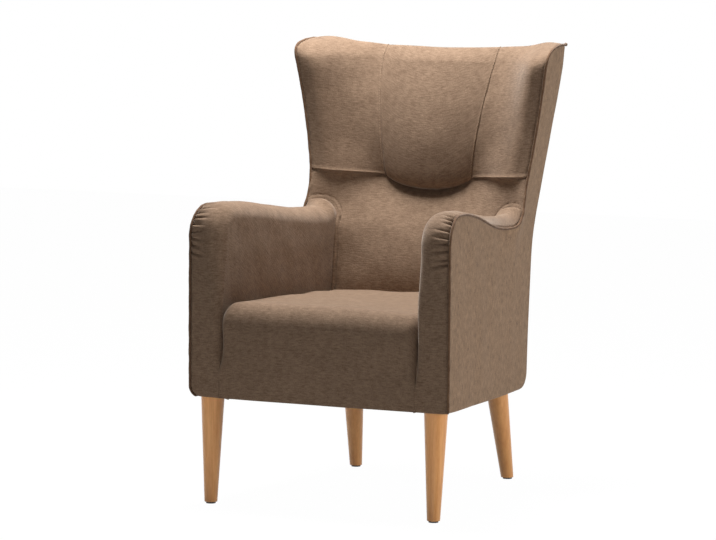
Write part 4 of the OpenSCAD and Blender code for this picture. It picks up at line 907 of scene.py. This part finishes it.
def makeLumbar():
    v = joined((0, 0.97, 110), (0.97, 1, 12))
    u = spaced(210, -1, 1, 0.45)
    grid = relaxed(lumbarPt(u[None], v[:, None]), lumbar["smoothRounds"])
    n = facing(grid, 50, 100, forwards)
    grid = grid + n*(lumbar["wave"]*ripple(grid, lumbar["waveSize"], 31))[..., None]
    out = forwards
    profile = armEndProfile()
    apart = (np.abs(grid[..., 0])[..., None] - profile[:, 0])**2 + (grid[..., 2, None] - profile[:, 2])**2
    away = np.sqrt(apart.min(axis=-1))
    fell = lumbar["fellRidge"]*np.exp(-((away - lumbar["fellAt"])/lumbar["fellWide"])**2)
    fell = fell - lumbar["stitchDeep"]*np.exp(-((away - lumbar["stitchAt"])/lumbar["stitchWide"])**2)
    grid = grid + out*fell[..., None]
    down, along = arcAlong(grid, 0), arcAlong(grid, 1)
    aboveArm = ease((grid[..., 2] - lumbar["edgeFrom"])/lumbar["edgeOver"])
    for way in (along, along[:, -1:] - along):
        grid = grid - n*(wing["edgeDeep"]*fading(way, wing["edgeWide"])*aboveArm)[..., None]
    middle = np.maximum(0, 1 - (grid[..., 0]/shape["headHalf"])**2)**0.6
    fromTop = down[-1:] - down
    sag = lumbar["seamDeep"]*fading(fromTop, lumbar["seamWide"])*(1 - middle)
    sag = sag + lumbar["sagDeep"]*fading(fromTop, lumbar["sagWide"])*middle
    grid = grid - out*sag[..., None]
    inner = softInner(grid, n, lumbar["padThick"], head["rim"], out)
    middleCol = grid.shape[1]//2
    above = np.maximum(0, grid[..., 2] - grid[-1, middleCol, 2])
    fall = np.interp(grid[..., 2], grid[:, middleCol, 2], down[:, middleCol])
    uv = pair(grid[..., 0], -fall - lumbar["clothRise"]*above)
    upholster("lumbarPanel", grid, inner, ("lumbar_cover", "lumbar_foam"), uv=uv)
    turn = unit(np.gradient(profile, axis=0)[:, [0, 2]])
    line = profile[:, [0, 2]] - np.stack([-turn[:, 1], turn[:, 0]], axis=-1)*lumbar["stitchAt"]
    for side in sides:
        points = []
        for x, z in line:
            d = (grid[..., 0] - side*x)**2 + (grid[..., 2] - z)**2
            near = np.argsort(d, axis=None)[:6]
            weight = 1/(d.ravel()[near] + 1.0)
            points.append((side*x, (grid[..., 1].ravel()[near]*weight).sum()/weight.sum(), z))
        stitchPaths["arm_" + sideName(side)] = (np.array(points), np.broadcast_to(out, (len(points), 3)))


# the arm's outline where the back meets it, from the seat up and over to the outer edge
def armEndProfile():
    return armPt(arm["endS"], joined((0.97, 0.6, 30), (0.6, 0.3, 26), (0.3, 0.12, 12)))


makeLumbar()
print("lumbar panel made")


# the fixed seat, which runs down its front into the apron
seat = {"sideR": 20.0, "sideDrop": 12.0, "flatShare": 0.76, "turnShare": 0.95, "wave": 1.4,
        "waveSize": 120.0, "backDrop": 15.0, "padThick": 22.0, "rim": 2.4}
seatC = (frontY + shape["seatEdgeR"], shape["seatFrontH"] - shape["seatEdgeR"])


def seatPath(v, a):
    turn = 90*clamp01(v - 1)
    c, r = shape, shape["seatEdgeR"]
    top = pair(lerp(tuckY(a) - 0.6, seatC[0], clamp01(v)), lerp(c["seatRearH"], c["seatFrontH"], clamp01(v)))
    edge = pair(seatC[0] - r*sinD(turn), seatC[1] + r*cosD(turn))
    down = pair(frontY, lerp(seatC[1], c["baseFrontH"], clamp01(v - 2)))
    return np.where((v < 1)[..., None], top, np.where((v < 2)[..., None], edge, down))


def seatPt(u, v):
    u, v = matched(u, v)
    a = np.abs(u)
    turn = 90*clamp01(v - 1)
    n = pair(-sinD(turn), cosD(turn))
    fade = creaseShare(seatPath(v, a)[..., 1])
    r = lerp(0.3, seat["sideR"], fade)
    flat, end = seat["flatShare"], seat["turnShare"]
    c = 90*clamp01((a - flat)/(end - flat))
    k = r/shape["armInHalf"]
    w = np.where(a < flat, (1 - k)*a/flat, 1 - k*(1 - sinD(c)))
    p = seatPath(v, w)
    drop = r*(1 - cosD(c)) + seat["sideDrop"]*fade*np.maximum(0, a - end)/(1 - end)
    x = w*(innerX(p[..., 0] - n[..., 0]*drop) - lerp(0.0, 0.6, fade))
    rise = np.where(v < 1, ease(v*3)*0.5 + 0.5, 1)
    h = shape["seatCrown"]*(1 - a*a)*rise - drop
    y = p[..., 0] + n[..., 0]*h
    plain = (1 - fade)*clamp01((v - 1.9)*10)
    y = lerp(y, frontY - apronOut(x), plain)
    back = np.where(v < 0.02, seat["backDrop"], 0.0)
    return triple(np.sign(u)*x, y, p[..., 1] + n[..., 1]*h - back)


def makeSeat():
    v = np.concatenate([(0.0,), joined((0.025, 1, 56), (1, 2, 34), (2, 3, 56))])
    flat, end = seat["flatShare"], seat["turnShare"]
    a = joined((0, flat, 60), (flat, end, 26), (end, 1, 6))
    u = np.concatenate([-a[:0:-1], a])
    grid = seatPt(u[None], v[:, None])
    n = facing(grid, 30, len(u)//2, (0.0, 0.0, 1.0))
    inside = ease((1 - np.abs(u))/0.15)[None]
    grid = grid + n*(seat["wave"]*ripple(grid, seat["waveSize"], 51)*inside*0.7)[..., None]
    inner = softInner(grid, n, seat["padThick"], seat["rim"])
    upholster("seatPad", grid, inner, ("seat_cover", "seat_foam"))


makeSeat()
print("seat made")


# outside panels: cloth over hardboard, wrapped round the rear edge and hemmed along the bottom
panel = {"wrapR": 13.0, "hemR": 4.0, "hemTo": 240.0, "bow": 3.0, "thick": 1.4, "inset": 3.4,
         "seamDeep": 2.4, "seamWide": 3.5, "wave": 0.5, "waveSize": 120.0, "waveFade": 25.0, "tipFade": 90.0,
         "shares": ((0.25, 0), (1, 0.12), (2, 0.27), (3, 0.948), (3.3, 1.5), (3.5, 2.05), (4, 2.22),
                    (4.25, 2.41), (4.5, 2.57), (5, 2.83), (5.5, 2.915), (6, 2.97), (7, 3))}


def quarterDrop(d, r):
    k = clamp01((r - d)/r)
    return r*(1 - np.sqrt(np.maximum(0, 1 - k*k)))


# how far a point of the side panel lies inside the rear outline
def rearRoom(y, z):
    c0, r = (shape["rearLowY"] - shape["rearCornerR"], rearLowZ), shape["rearCornerR"]
    arc = r - np.hypot(np.maximum(0, y - c0[0]), np.minimum(0, z - c0[1]))
    return np.where(z < rearLowZ, arc, rearEdgeY(z) - y)


def makeOutsidePanel(side):
    name = sideName(side)
    rows = joined((0.25, 1, 44), (1, 2, 26), (2, 3, 60), (3, 4, 44), (4, 5, 44), (5, 6.96, 40))
    cols = spaced(80, 0, 1, 0.75)
    p = edgePt(rows) - edgeN(rows)*panel["inset"]
    q = basePt(look(rows, panel["shares"]))
    q[:, 0] = np.maximum(q[:, 0], frontY + panel["inset"])
    m = lerp(p[:, None], q[:, None], cols[None, :, None])
    y, z = m[..., 0], m[..., 1]
    bow = panel["bow"]*sinD(180*clamp01((y - frontY)/(shape["rearLowY"] - frontY)))
    bow = bow*sinD(180*clamp01((z - shape["baseRearH"])/(shape["dipH"] - shape["baseRearH"])))
    room = rearRoom(y, z)
    hem = quarterDrop(z - baseZ(y), panel["hemR"])*(y < panel["hemTo"])
    x = sideX(y, z) + bow - quarterDrop(room, panel["wrapR"]) - hem
    fromEdge = np.linalg.norm(m - p[:, None], axis=-1)
    x = x - panel["seamDeep"]*fading(fromEdge, panel["seamWide"])
    grid = triple(x, y, z)
    wave = panel["wave"]*ripple(grid, panel["waveSize"], 61 + int(side))
    grid[..., 0] += wave*ease(fromEdge/panel["waveFade"])*ease(room/panel["waveFade"])
    grid[..., 0] = cornerIn(grid[..., 0], y, z, side)
    grid = grid + tipShift(rows, side)[:, None]*(1 - ease(fromEdge/panel["tipFade"]))[..., None]
    inner = grid - np.array([panel["thick"], 0, 0])
    # the paler copy of the cloth paints light onto the outside panel
    obj = addShell("outsidePanel_" + name, grid, inner, sidePaintedLighterMaterial, side)
    uvFlat(obj)
    placed(obj, "cover_fabric", "outside_arm_cover_" + name)


# the outside cloth's ribs stand upright, so its UVs are the plain side view
def uvFlat(obj):
    mesh = obj.data
    co = np.zeros(len(mesh.vertices)*3, np.float32)
    mesh.vertices.foreach_get("co", co)
    co = co.reshape(-1, 3)
    index = np.zeros(len(mesh.loops), np.int32)
    mesh.loops.foreach_get("vertex_index", index)
    mesh.uv_layers["cloth"].data.foreach_set("uv", co[index][:, 1:].ravel())


for side in sides:
    makeOutsidePanel(side)

back = {"bow": 6.0, "hemShare": 1.35, "thick": 1.4, "wave": 0.8, "waveSize": 130.0, "lipLow": 12.0,
        "cornerLow": 2.2, "tuckIn": 1.4, "edgeDeep": 1.6, "half": 260.0, "edgeWide": 4.0}


def makeOutsideBack():
    q = joined((back["hemShare"], 2, 24), (2, 3, 90))
    u = spaced(110, -1, 1, 0.4)
    t = clamp01(q - 2)
    topX = headX(rollZ)
    farX = sideX(rearTopY, shape["wingTopH"])
    across = np.abs(u)*farX
    topZ = lerp(shape["backTopH"] - back["lipLow"], shape["wingTopH"] - back["cornerLow"],
                clamp01((across - topX)/(farX - topX)))
    b = basePt(np.minimum(q, 2))
    low = q < 2
    z = np.where(low[:, None], b[:, 1:], lerp(rearLowZ, topZ[None], t[:, None]))
    plain = rearY(np.minimum(z, shape["backTopH"]))
    y = np.where(low[:, None], b[:, :1], lerp(plain, rearEdgeY(z), np.abs(u[None])**3))
    y = y - back["tuckIn"]*ease((t[:, None] - 0.985)/0.015)
    x = u[None]*(sideX(y, z) - panel["wrapR"] + 1.0)
    fromEdge = 1 - np.abs(u[None])
    edge = back["edgeDeep"]*fading(fromEdge*back["half"], back["edgeWide"])
    y = y + back["bow"]*(1 - u[None]**2)*sinD(180*t[:, None]) - edge
    grid = triple(x, y, z)
    wave = back["wave"]*ripple(grid, back["waveSize"], 71)
    grid[..., 1] += wave*ease(fromEdge*8)*ease((3 - q[:, None])*12)*0.6
    inner = grid - np.array([0, back["thick"], 0])
    obj = addShell("outsideBack", grid, inner, clothMaterial)
    placed(obj, "cover_fabric", "outside_back_cover")


makeOutsideBack()
print("outside panels made")


# piping: a cord in a bias strip, from the bottom front edge to a small knob at the rear top corner
piping = {"rings": 900, "sides": 12, "inset": 1.5, "uneven": 0.05, "unevenSize": 16.0, "wander": 0.35,
          "wanderSize": 45.0, "knobR": 4.4, "knobShare": 0.0025, "startShare": 0.0012}


def makePiping(side):
    name = sideName(side)
    s = np.interp(np.linspace(0, 1, piping["rings"]), *pipingArc())
    p = edgePt(s) - edgeN(s)*piping["inset"]
    path = triple(sideX(p[:, 0], p[:, 1]) - piping["inset"], p[:, 0], p[:, 1]) + tipShift(s, side)
    path[:, 0] = cornerIn(path[:, 0] + 1.0, path[:, 1], path[:, 2], side) - 1.0
    path[:, 2] = np.maximum(path[:, 2], shape["baseFrontH"] + 1.0)
    wander = np.stack([ripple(path, piping["wanderSize"], 80 + k) for k in range(3)], axis=1)
    path = path + piping["wander"]*wander*0.6
    d = unit(np.gradient(path, axis=0))
    e = unit(np.cross(d, np.array([1.0, 0, 0])))
    f = np.cross(e, d)
    r = shape["pipingR"]*(1 + piping["uneven"]*ripple(path, piping["unevenSize"], 90))
    along = np.linspace(0, 1, piping["rings"])
    r = r + (piping["knobR"] - shape["pipingR"])*np.exp(-((1 - along)/piping["knobShare"])**2)
    r = r*np.sqrt(clamp01(along/piping["startShare"]))
    turns = np.linspace(0, 360, piping["sides"] + 1)
    ring = cosD(turns)[None, :, None]*e[:, None] + sinD(turns)[None, :, None]*f[:, None]
    tube = path[:, None] + r[:, None, None]*ring
    length = arcAlong(path[:, None], 0)[:, 0]
    rows, cols = piping["rings"], piping["sides"]
    points = tube[:, :cols].reshape(-1, 3)
    k = np.arange(rows - 1)[:, None]*cols
    j = np.arange(cols)[None]
    after = (j + 1) % cols
    faces = np.stack([k + j, k + after, k + cols + after, k + cols + j], axis=-1).reshape(-1, 4)
    caps = [list(range(cols)), list(range((rows - 1)*cols, rows*cols))]
    uv = pair(turns[None, :cols]/360*2*math.pi*3, length[:, None]).reshape(-1, 2)
    obj = addMesh("piping_" + name + "_welt", points, faces.tolist() + caps, pipingMaterial, uv, side)
    placed(obj, "piping_fabric", "piping_" + name)


def pipingArc():
    s = np.linspace(0, 7, 1400)
    p = edgePt(s)
    length = np.concatenate([[0], np.cumsum(np.linalg.norm(np.diff(p, axis=0), axis=1))])
    return length/length[-1], s


for side in sides:
    makePiping(side)
print("piping made")


# topstitches: small arcs of thread along a path, each lying the way the path runs
thread = {"seam": (0.0065, 0.0048, 0.0008), "arm": (0.0112, 0.0078, 0.0016), "lift": 0.2, "arch": 0.0005}


def stitchTree():
    tree = bpy.data.node_groups.new("stitchRow", "GeometryNodeTree")
    wanted = {"Geometry": "Geometry", "Spacing": "Float", "Stitch Length": "Float", "Thickness": "Float",
              "Arch": "Float", "Thread": "Material"}
    for name, kind in wanted.items():
        tree.interface.new_socket(name, in_out="INPUT", socket_type="NodeSocket" + kind)
    tree.interface.new_socket("Geometry", in_out="OUTPUT", socket_type="NodeSocketGeometry")
    g = NodeMaker(tree)
    given = tree.nodes.new("NodeGroupInput").outputs
    spacing, long, thick, arch = (Sock(g, given[n]) for n in list(wanted)[1:5])
    path = g.node("GeometryNodeMeshToCurve", {}, {"Mesh": given["Geometry"]})
    path = g.node("GeometryNodeResampleCurve", {"mode": "LENGTH"}, {"Curve": path, "Length": spacing})
    start = g.node("ShaderNodeCombineXYZ", {}, {"X": long*-0.5})
    top = g.node("ShaderNodeCombineXYZ", {}, {"Z": arch*2})
    end = g.node("ShaderNodeCombineXYZ", {}, {"X": long*0.5})
    arc = g.node("GeometryNodeCurveQuadraticBezier", {},
                 {"Resolution": 5, "Start": start, "Middle": top, "End": end})
    ring = g.node("GeometryNodeCurvePrimitiveCircle", {"mode": "RADIUS"},
                  {"Resolution": 6, "Radius": thick*0.5})
    stitch = g.node("GeometryNodeCurveToMesh", {}, {"Curve": arc, "Profile Curve": ring, "Fill Caps": True})
    tangent = g.node("GeometryNodeInputTangent")
    facing = g.node("GeometryNodeInputNamedAttribute", {"data_type": "FLOAT_VECTOR"}, {"Name": "facing"})
    turn = g.node("FunctionNodeAlignRotationToVector", {"axis": "X"}, {"Vector": tangent})
    turn = g.node("FunctionNodeAlignRotationToVector", {"axis": "Z", "pivot_axis": "X"},
                  {"Rotation": turn, "Vector": facing})
    row = g.node("GeometryNodeInstanceOnPoints", {}, {"Points": path, "Instance": stitch, "Rotation": turn})
    row = g.node("GeometryNodeRealizeInstances", {}, {"Geometry": row})
    row = g.node("GeometryNodeSetMaterial", {}, {"Geometry": row, "Material": given["Thread"]})
    g.node("NodeGroupOutput", {}, {"Geometry": row})
    return tree


def makeStitches(tree, name, path, facing):
    spacing, long, thick = thread[name.split("_")[0]]
    points = (path + facing*thread["lift"])*mm
    mesh = bpy.data.meshes.new("stitches_" + name)
    mesh.from_pydata(points.tolist(), [(i, i + 1) for i in range(len(points) - 1)], [])
    layer = mesh.attributes.new("facing", "FLOAT_VECTOR", "POINT")
    layer.data.foreach_set("vector", np.asarray(facing, np.float32).ravel())
    obj = linked("stitches_" + name, mesh)
    row = obj.modifiers.new("row", "NODES")
    row.node_group = tree
    values = {"Spacing": spacing, "Stitch Length": long, "Thickness": thick, "Arch": thread["arch"],
              "Thread": stitchMaterial}
    for item in tree.interface.items_tree:
        if item.in_out == "INPUT" and item.name in values:
            row[item.identifier] = values[item.name]
    made = bpy.data.meshes.new_from_object(obj.evaluated_get(bpy.context.evaluated_depsgraph_get()))
    obj.modifiers.remove(row)
    obj.data = made
    placed(obj, "piping_fabric")


rowTree = stitchTree()
for name, (path, facing) in stitchPaths.items():
    makeStitches(rowTree, name, path, facing)
print("stitches made")


# under the seat: felt over the springs and a thin cloth tacked below, both in the plane of the rails
under = {"pitch": math.atan(25.0/602.0), "clothRise": 7.4, "clothEdge": 12.0, "clothLong": 590.0, "sag": 3.5,
         "legHole": 28.6, "legs": ((274.0, -315.6), (188.4, 244.7)), "clothThick": 0.0009,
         "feltRise": 96.1, "feltFrom": 11.0, "feltTo": 614.8, "feltThick": 4.0, "feltWave": 0.8}


def railPlane(x, along, rise):
    s, c = math.sin(under["pitch"]), math.cos(under["pitch"])
    return triple(x, frontY + along*c + rise*s, shape["baseFrontH"] - along*s + rise*c)


def makeDustCloth():
    u, k = np.linspace(-1, 1, 150), np.linspace(0, 1, 150)
    along = lerp(under["clothEdge"], under["clothLong"], k)[:, None]
    x = u[None]*(shape["halfWidth"] - shape["taper"]*along - under["clothEdge"])
    inside = (1 - u[None]**4)*(1 - (2*k[:, None] - 1)**4)
    rise = under["clothRise"] - under["sag"]*inside + 0.5*ripple(triple(x, along, 0*x), 70.0, 95)*inside
    grid = railPlane(x, along, rise).reshape(-1, 3)
    inHole = np.zeros(len(grid), bool)
    for side in sides:
        for legX, legY in under["legs"]:
            d = grid[:, :2] - np.array([side*legX, legY])
            far = np.linalg.norm(d, axis=1)
            near = far < under["legHole"] + 2.6
            inHole |= near
            grid[near, :2] = np.array([side*legX, legY]) + d[near]/far[near, None]*under["legHole"]
    faces = gridFaces(150, 150)
    faces = faces[~inHole[faces].all(axis=1)]
    used = np.unique(faces)
    back = np.zeros(len(grid), int)
    back[used] = np.arange(len(used))
    obj = addMesh("dustCloth", grid[used], back[faces], underMaterial, grid[used][:, :2])
    wall = obj.modifiers.new("cloth", "SOLIDIFY")
    wall.thickness = under["clothThick"]
    wall.offset = 0
    placed(obj, "dust_cloth", "dust_cover")


def makeFelt():
    u, k = np.linspace(-1, 1, 90), np.linspace(0, 1, 110)
    along = lerp(under["feltFrom"], under["feltTo"], k)[:, None]
    x = u[None]*(innerX(frontY + along) - edgeRoom)
    grid = railPlane(x, along, under["feltRise"] + under["feltWave"]*ripple(triple(x, along, 0*x), 60.0, 96))
    below = grid - np.array([0, 0, under["feltThick"]])
    obj = addShell("springFelt", grid, below, feltMaterial)
    placed(obj, "felt", "spring_pad")


webbing = {"rises": (0.063, 0.17, 0.385, 0.52, 0.654, 0.783), "width": 50.0, "thick": 1.5, "give": 3.0,
           "before": 45.1, "inset": 19.2}


def makeWebbing():
    for count, rise in enumerate(webbing["rises"]):
        z = lerp(arm["tuckZ"], rollZ, rise) + np.linspace(-0.5, 0.5, 12)[:, None]*webbing["width"]
        u = np.linspace(-1, 1, 80)[None]
        coreY = rearY(z) - webbing["before"]
        x = u*(shape["halfWidth"] - shape["taper"]*(coreY - frontY) - webbing["inset"])
        y = coreY - 0.5 + webbing["give"]*(1 - u*u) + 0.25*ripple(triple(x, 0*x, z + 0*x), 30.0, 97 + count)
        grid = triple(x, y, z)
        name = "backStrap_" + str(count + 1)
        obj = addShell(name, grid, grid + np.array([0, webbing["thick"], 0]), strapMaterial)
        placed(obj, "webbing", *(["back_webbing"] if count == 0 else []))
        long = float(2*x.max())*mm


makeDustCloth()
makeFelt()
makeWebbing()
print("felt, webbing and under cloth made")


# a flat pale floor, and white behind it wherever the camera or a reflection looks
stage = {"floorSize": 14.0, "tone": 0.6, "white": 1.02, "seenShare": 0.97}


def seenShare(s):
    rays = [s.node("ShaderNodeLightPath", {}, {}, kind)
            for kind in ("Is Camera Ray", "Is Glossy Ray", "Is Transmission Ray")]
    return (rays[0] + rays[1] + rays[2]).clamp()


def floorMaterial():
    s = Shader("studioFloor")
    lit = s.node("ShaderNodeBsdfDiffuse", {}, {"Color": (stage["tone"],)*3 + (1.0,)})
    glow = s.node("ShaderNodeEmission", {}, {"Color": (1, 1, 1, 1), "Strength": stage["white"]})
    both = s.node("ShaderNodeMixShader", {}, {0: seenShare(s)*stage["seenShare"], 1: lit, 2: glow})
    s.node("ShaderNodeOutputMaterial", {}, {"Surface": both})
    return s.material


def makeStage():
    half = stage["floorSize"]/2
    mesh = bpy.data.meshes.new("floor")
    corners = [(-half, -half, 0), (half, -half, 0), (half, half, 0), (-half, half, 0)]
    mesh.from_pydata(corners, [], [(0, 1, 2, 3)])
    mesh.materials.append(floorMaterial())
    linked("floor", mesh)


makeStage()

lamps = {
    "top": {"place": (-0.25, 0.15, 2.5), "aim": (0, 0, 0.6), "size": 0.9, "watts": 84},
    "right": {"place": (3.7, 0.3, 1.3), "aim": (0, 0, 0.6), "size": 2.0, "watts": 62},
    "front": {"place": (0.2, -3.6, 0.4), "aim": (0, 0, 0.4), "size": 2.4, "watts": 18},
}
world = {"strength": 0.04}


def makeLamps():
    for name, c in lamps.items():
        data = bpy.data.lights.new(name, "AREA")
        data.shape = "DISK"
        data.size = c["size"]
        data.energy = c["watts"]
        aim = Vector(c["aim"]) - Vector(c["place"])
        turn = aim.to_track_quat("-Z", "Y").to_matrix().to_4x4()
        linked(name, data).matrix_world = Matrix.Translation(c["place"]) @ turn
    studio = bpy.data.worlds.new("studio")
    studio.use_nodes = True
    studio.node_tree.nodes.clear()
    w = NodeMaker(studio.node_tree)
    soft = w.node("ShaderNodeBackground", {}, {"Color": (1, 1, 1, 1), "Strength": world["strength"]})
    white = w.node("ShaderNodeBackground", {}, {"Color": (1, 1, 1, 1), "Strength": 1.0})
    both = w.node("ShaderNodeMixShader", {}, {0: seenShare(w), 1: soft, 2: white})
    w.node("ShaderNodeOutputWorld", {}, {"Surface": both})
    bpy.context.scene.world = studio
    bpy.context.scene.view_settings.view_transform = "Standard"


makeLamps()
print("stage and lamps made")
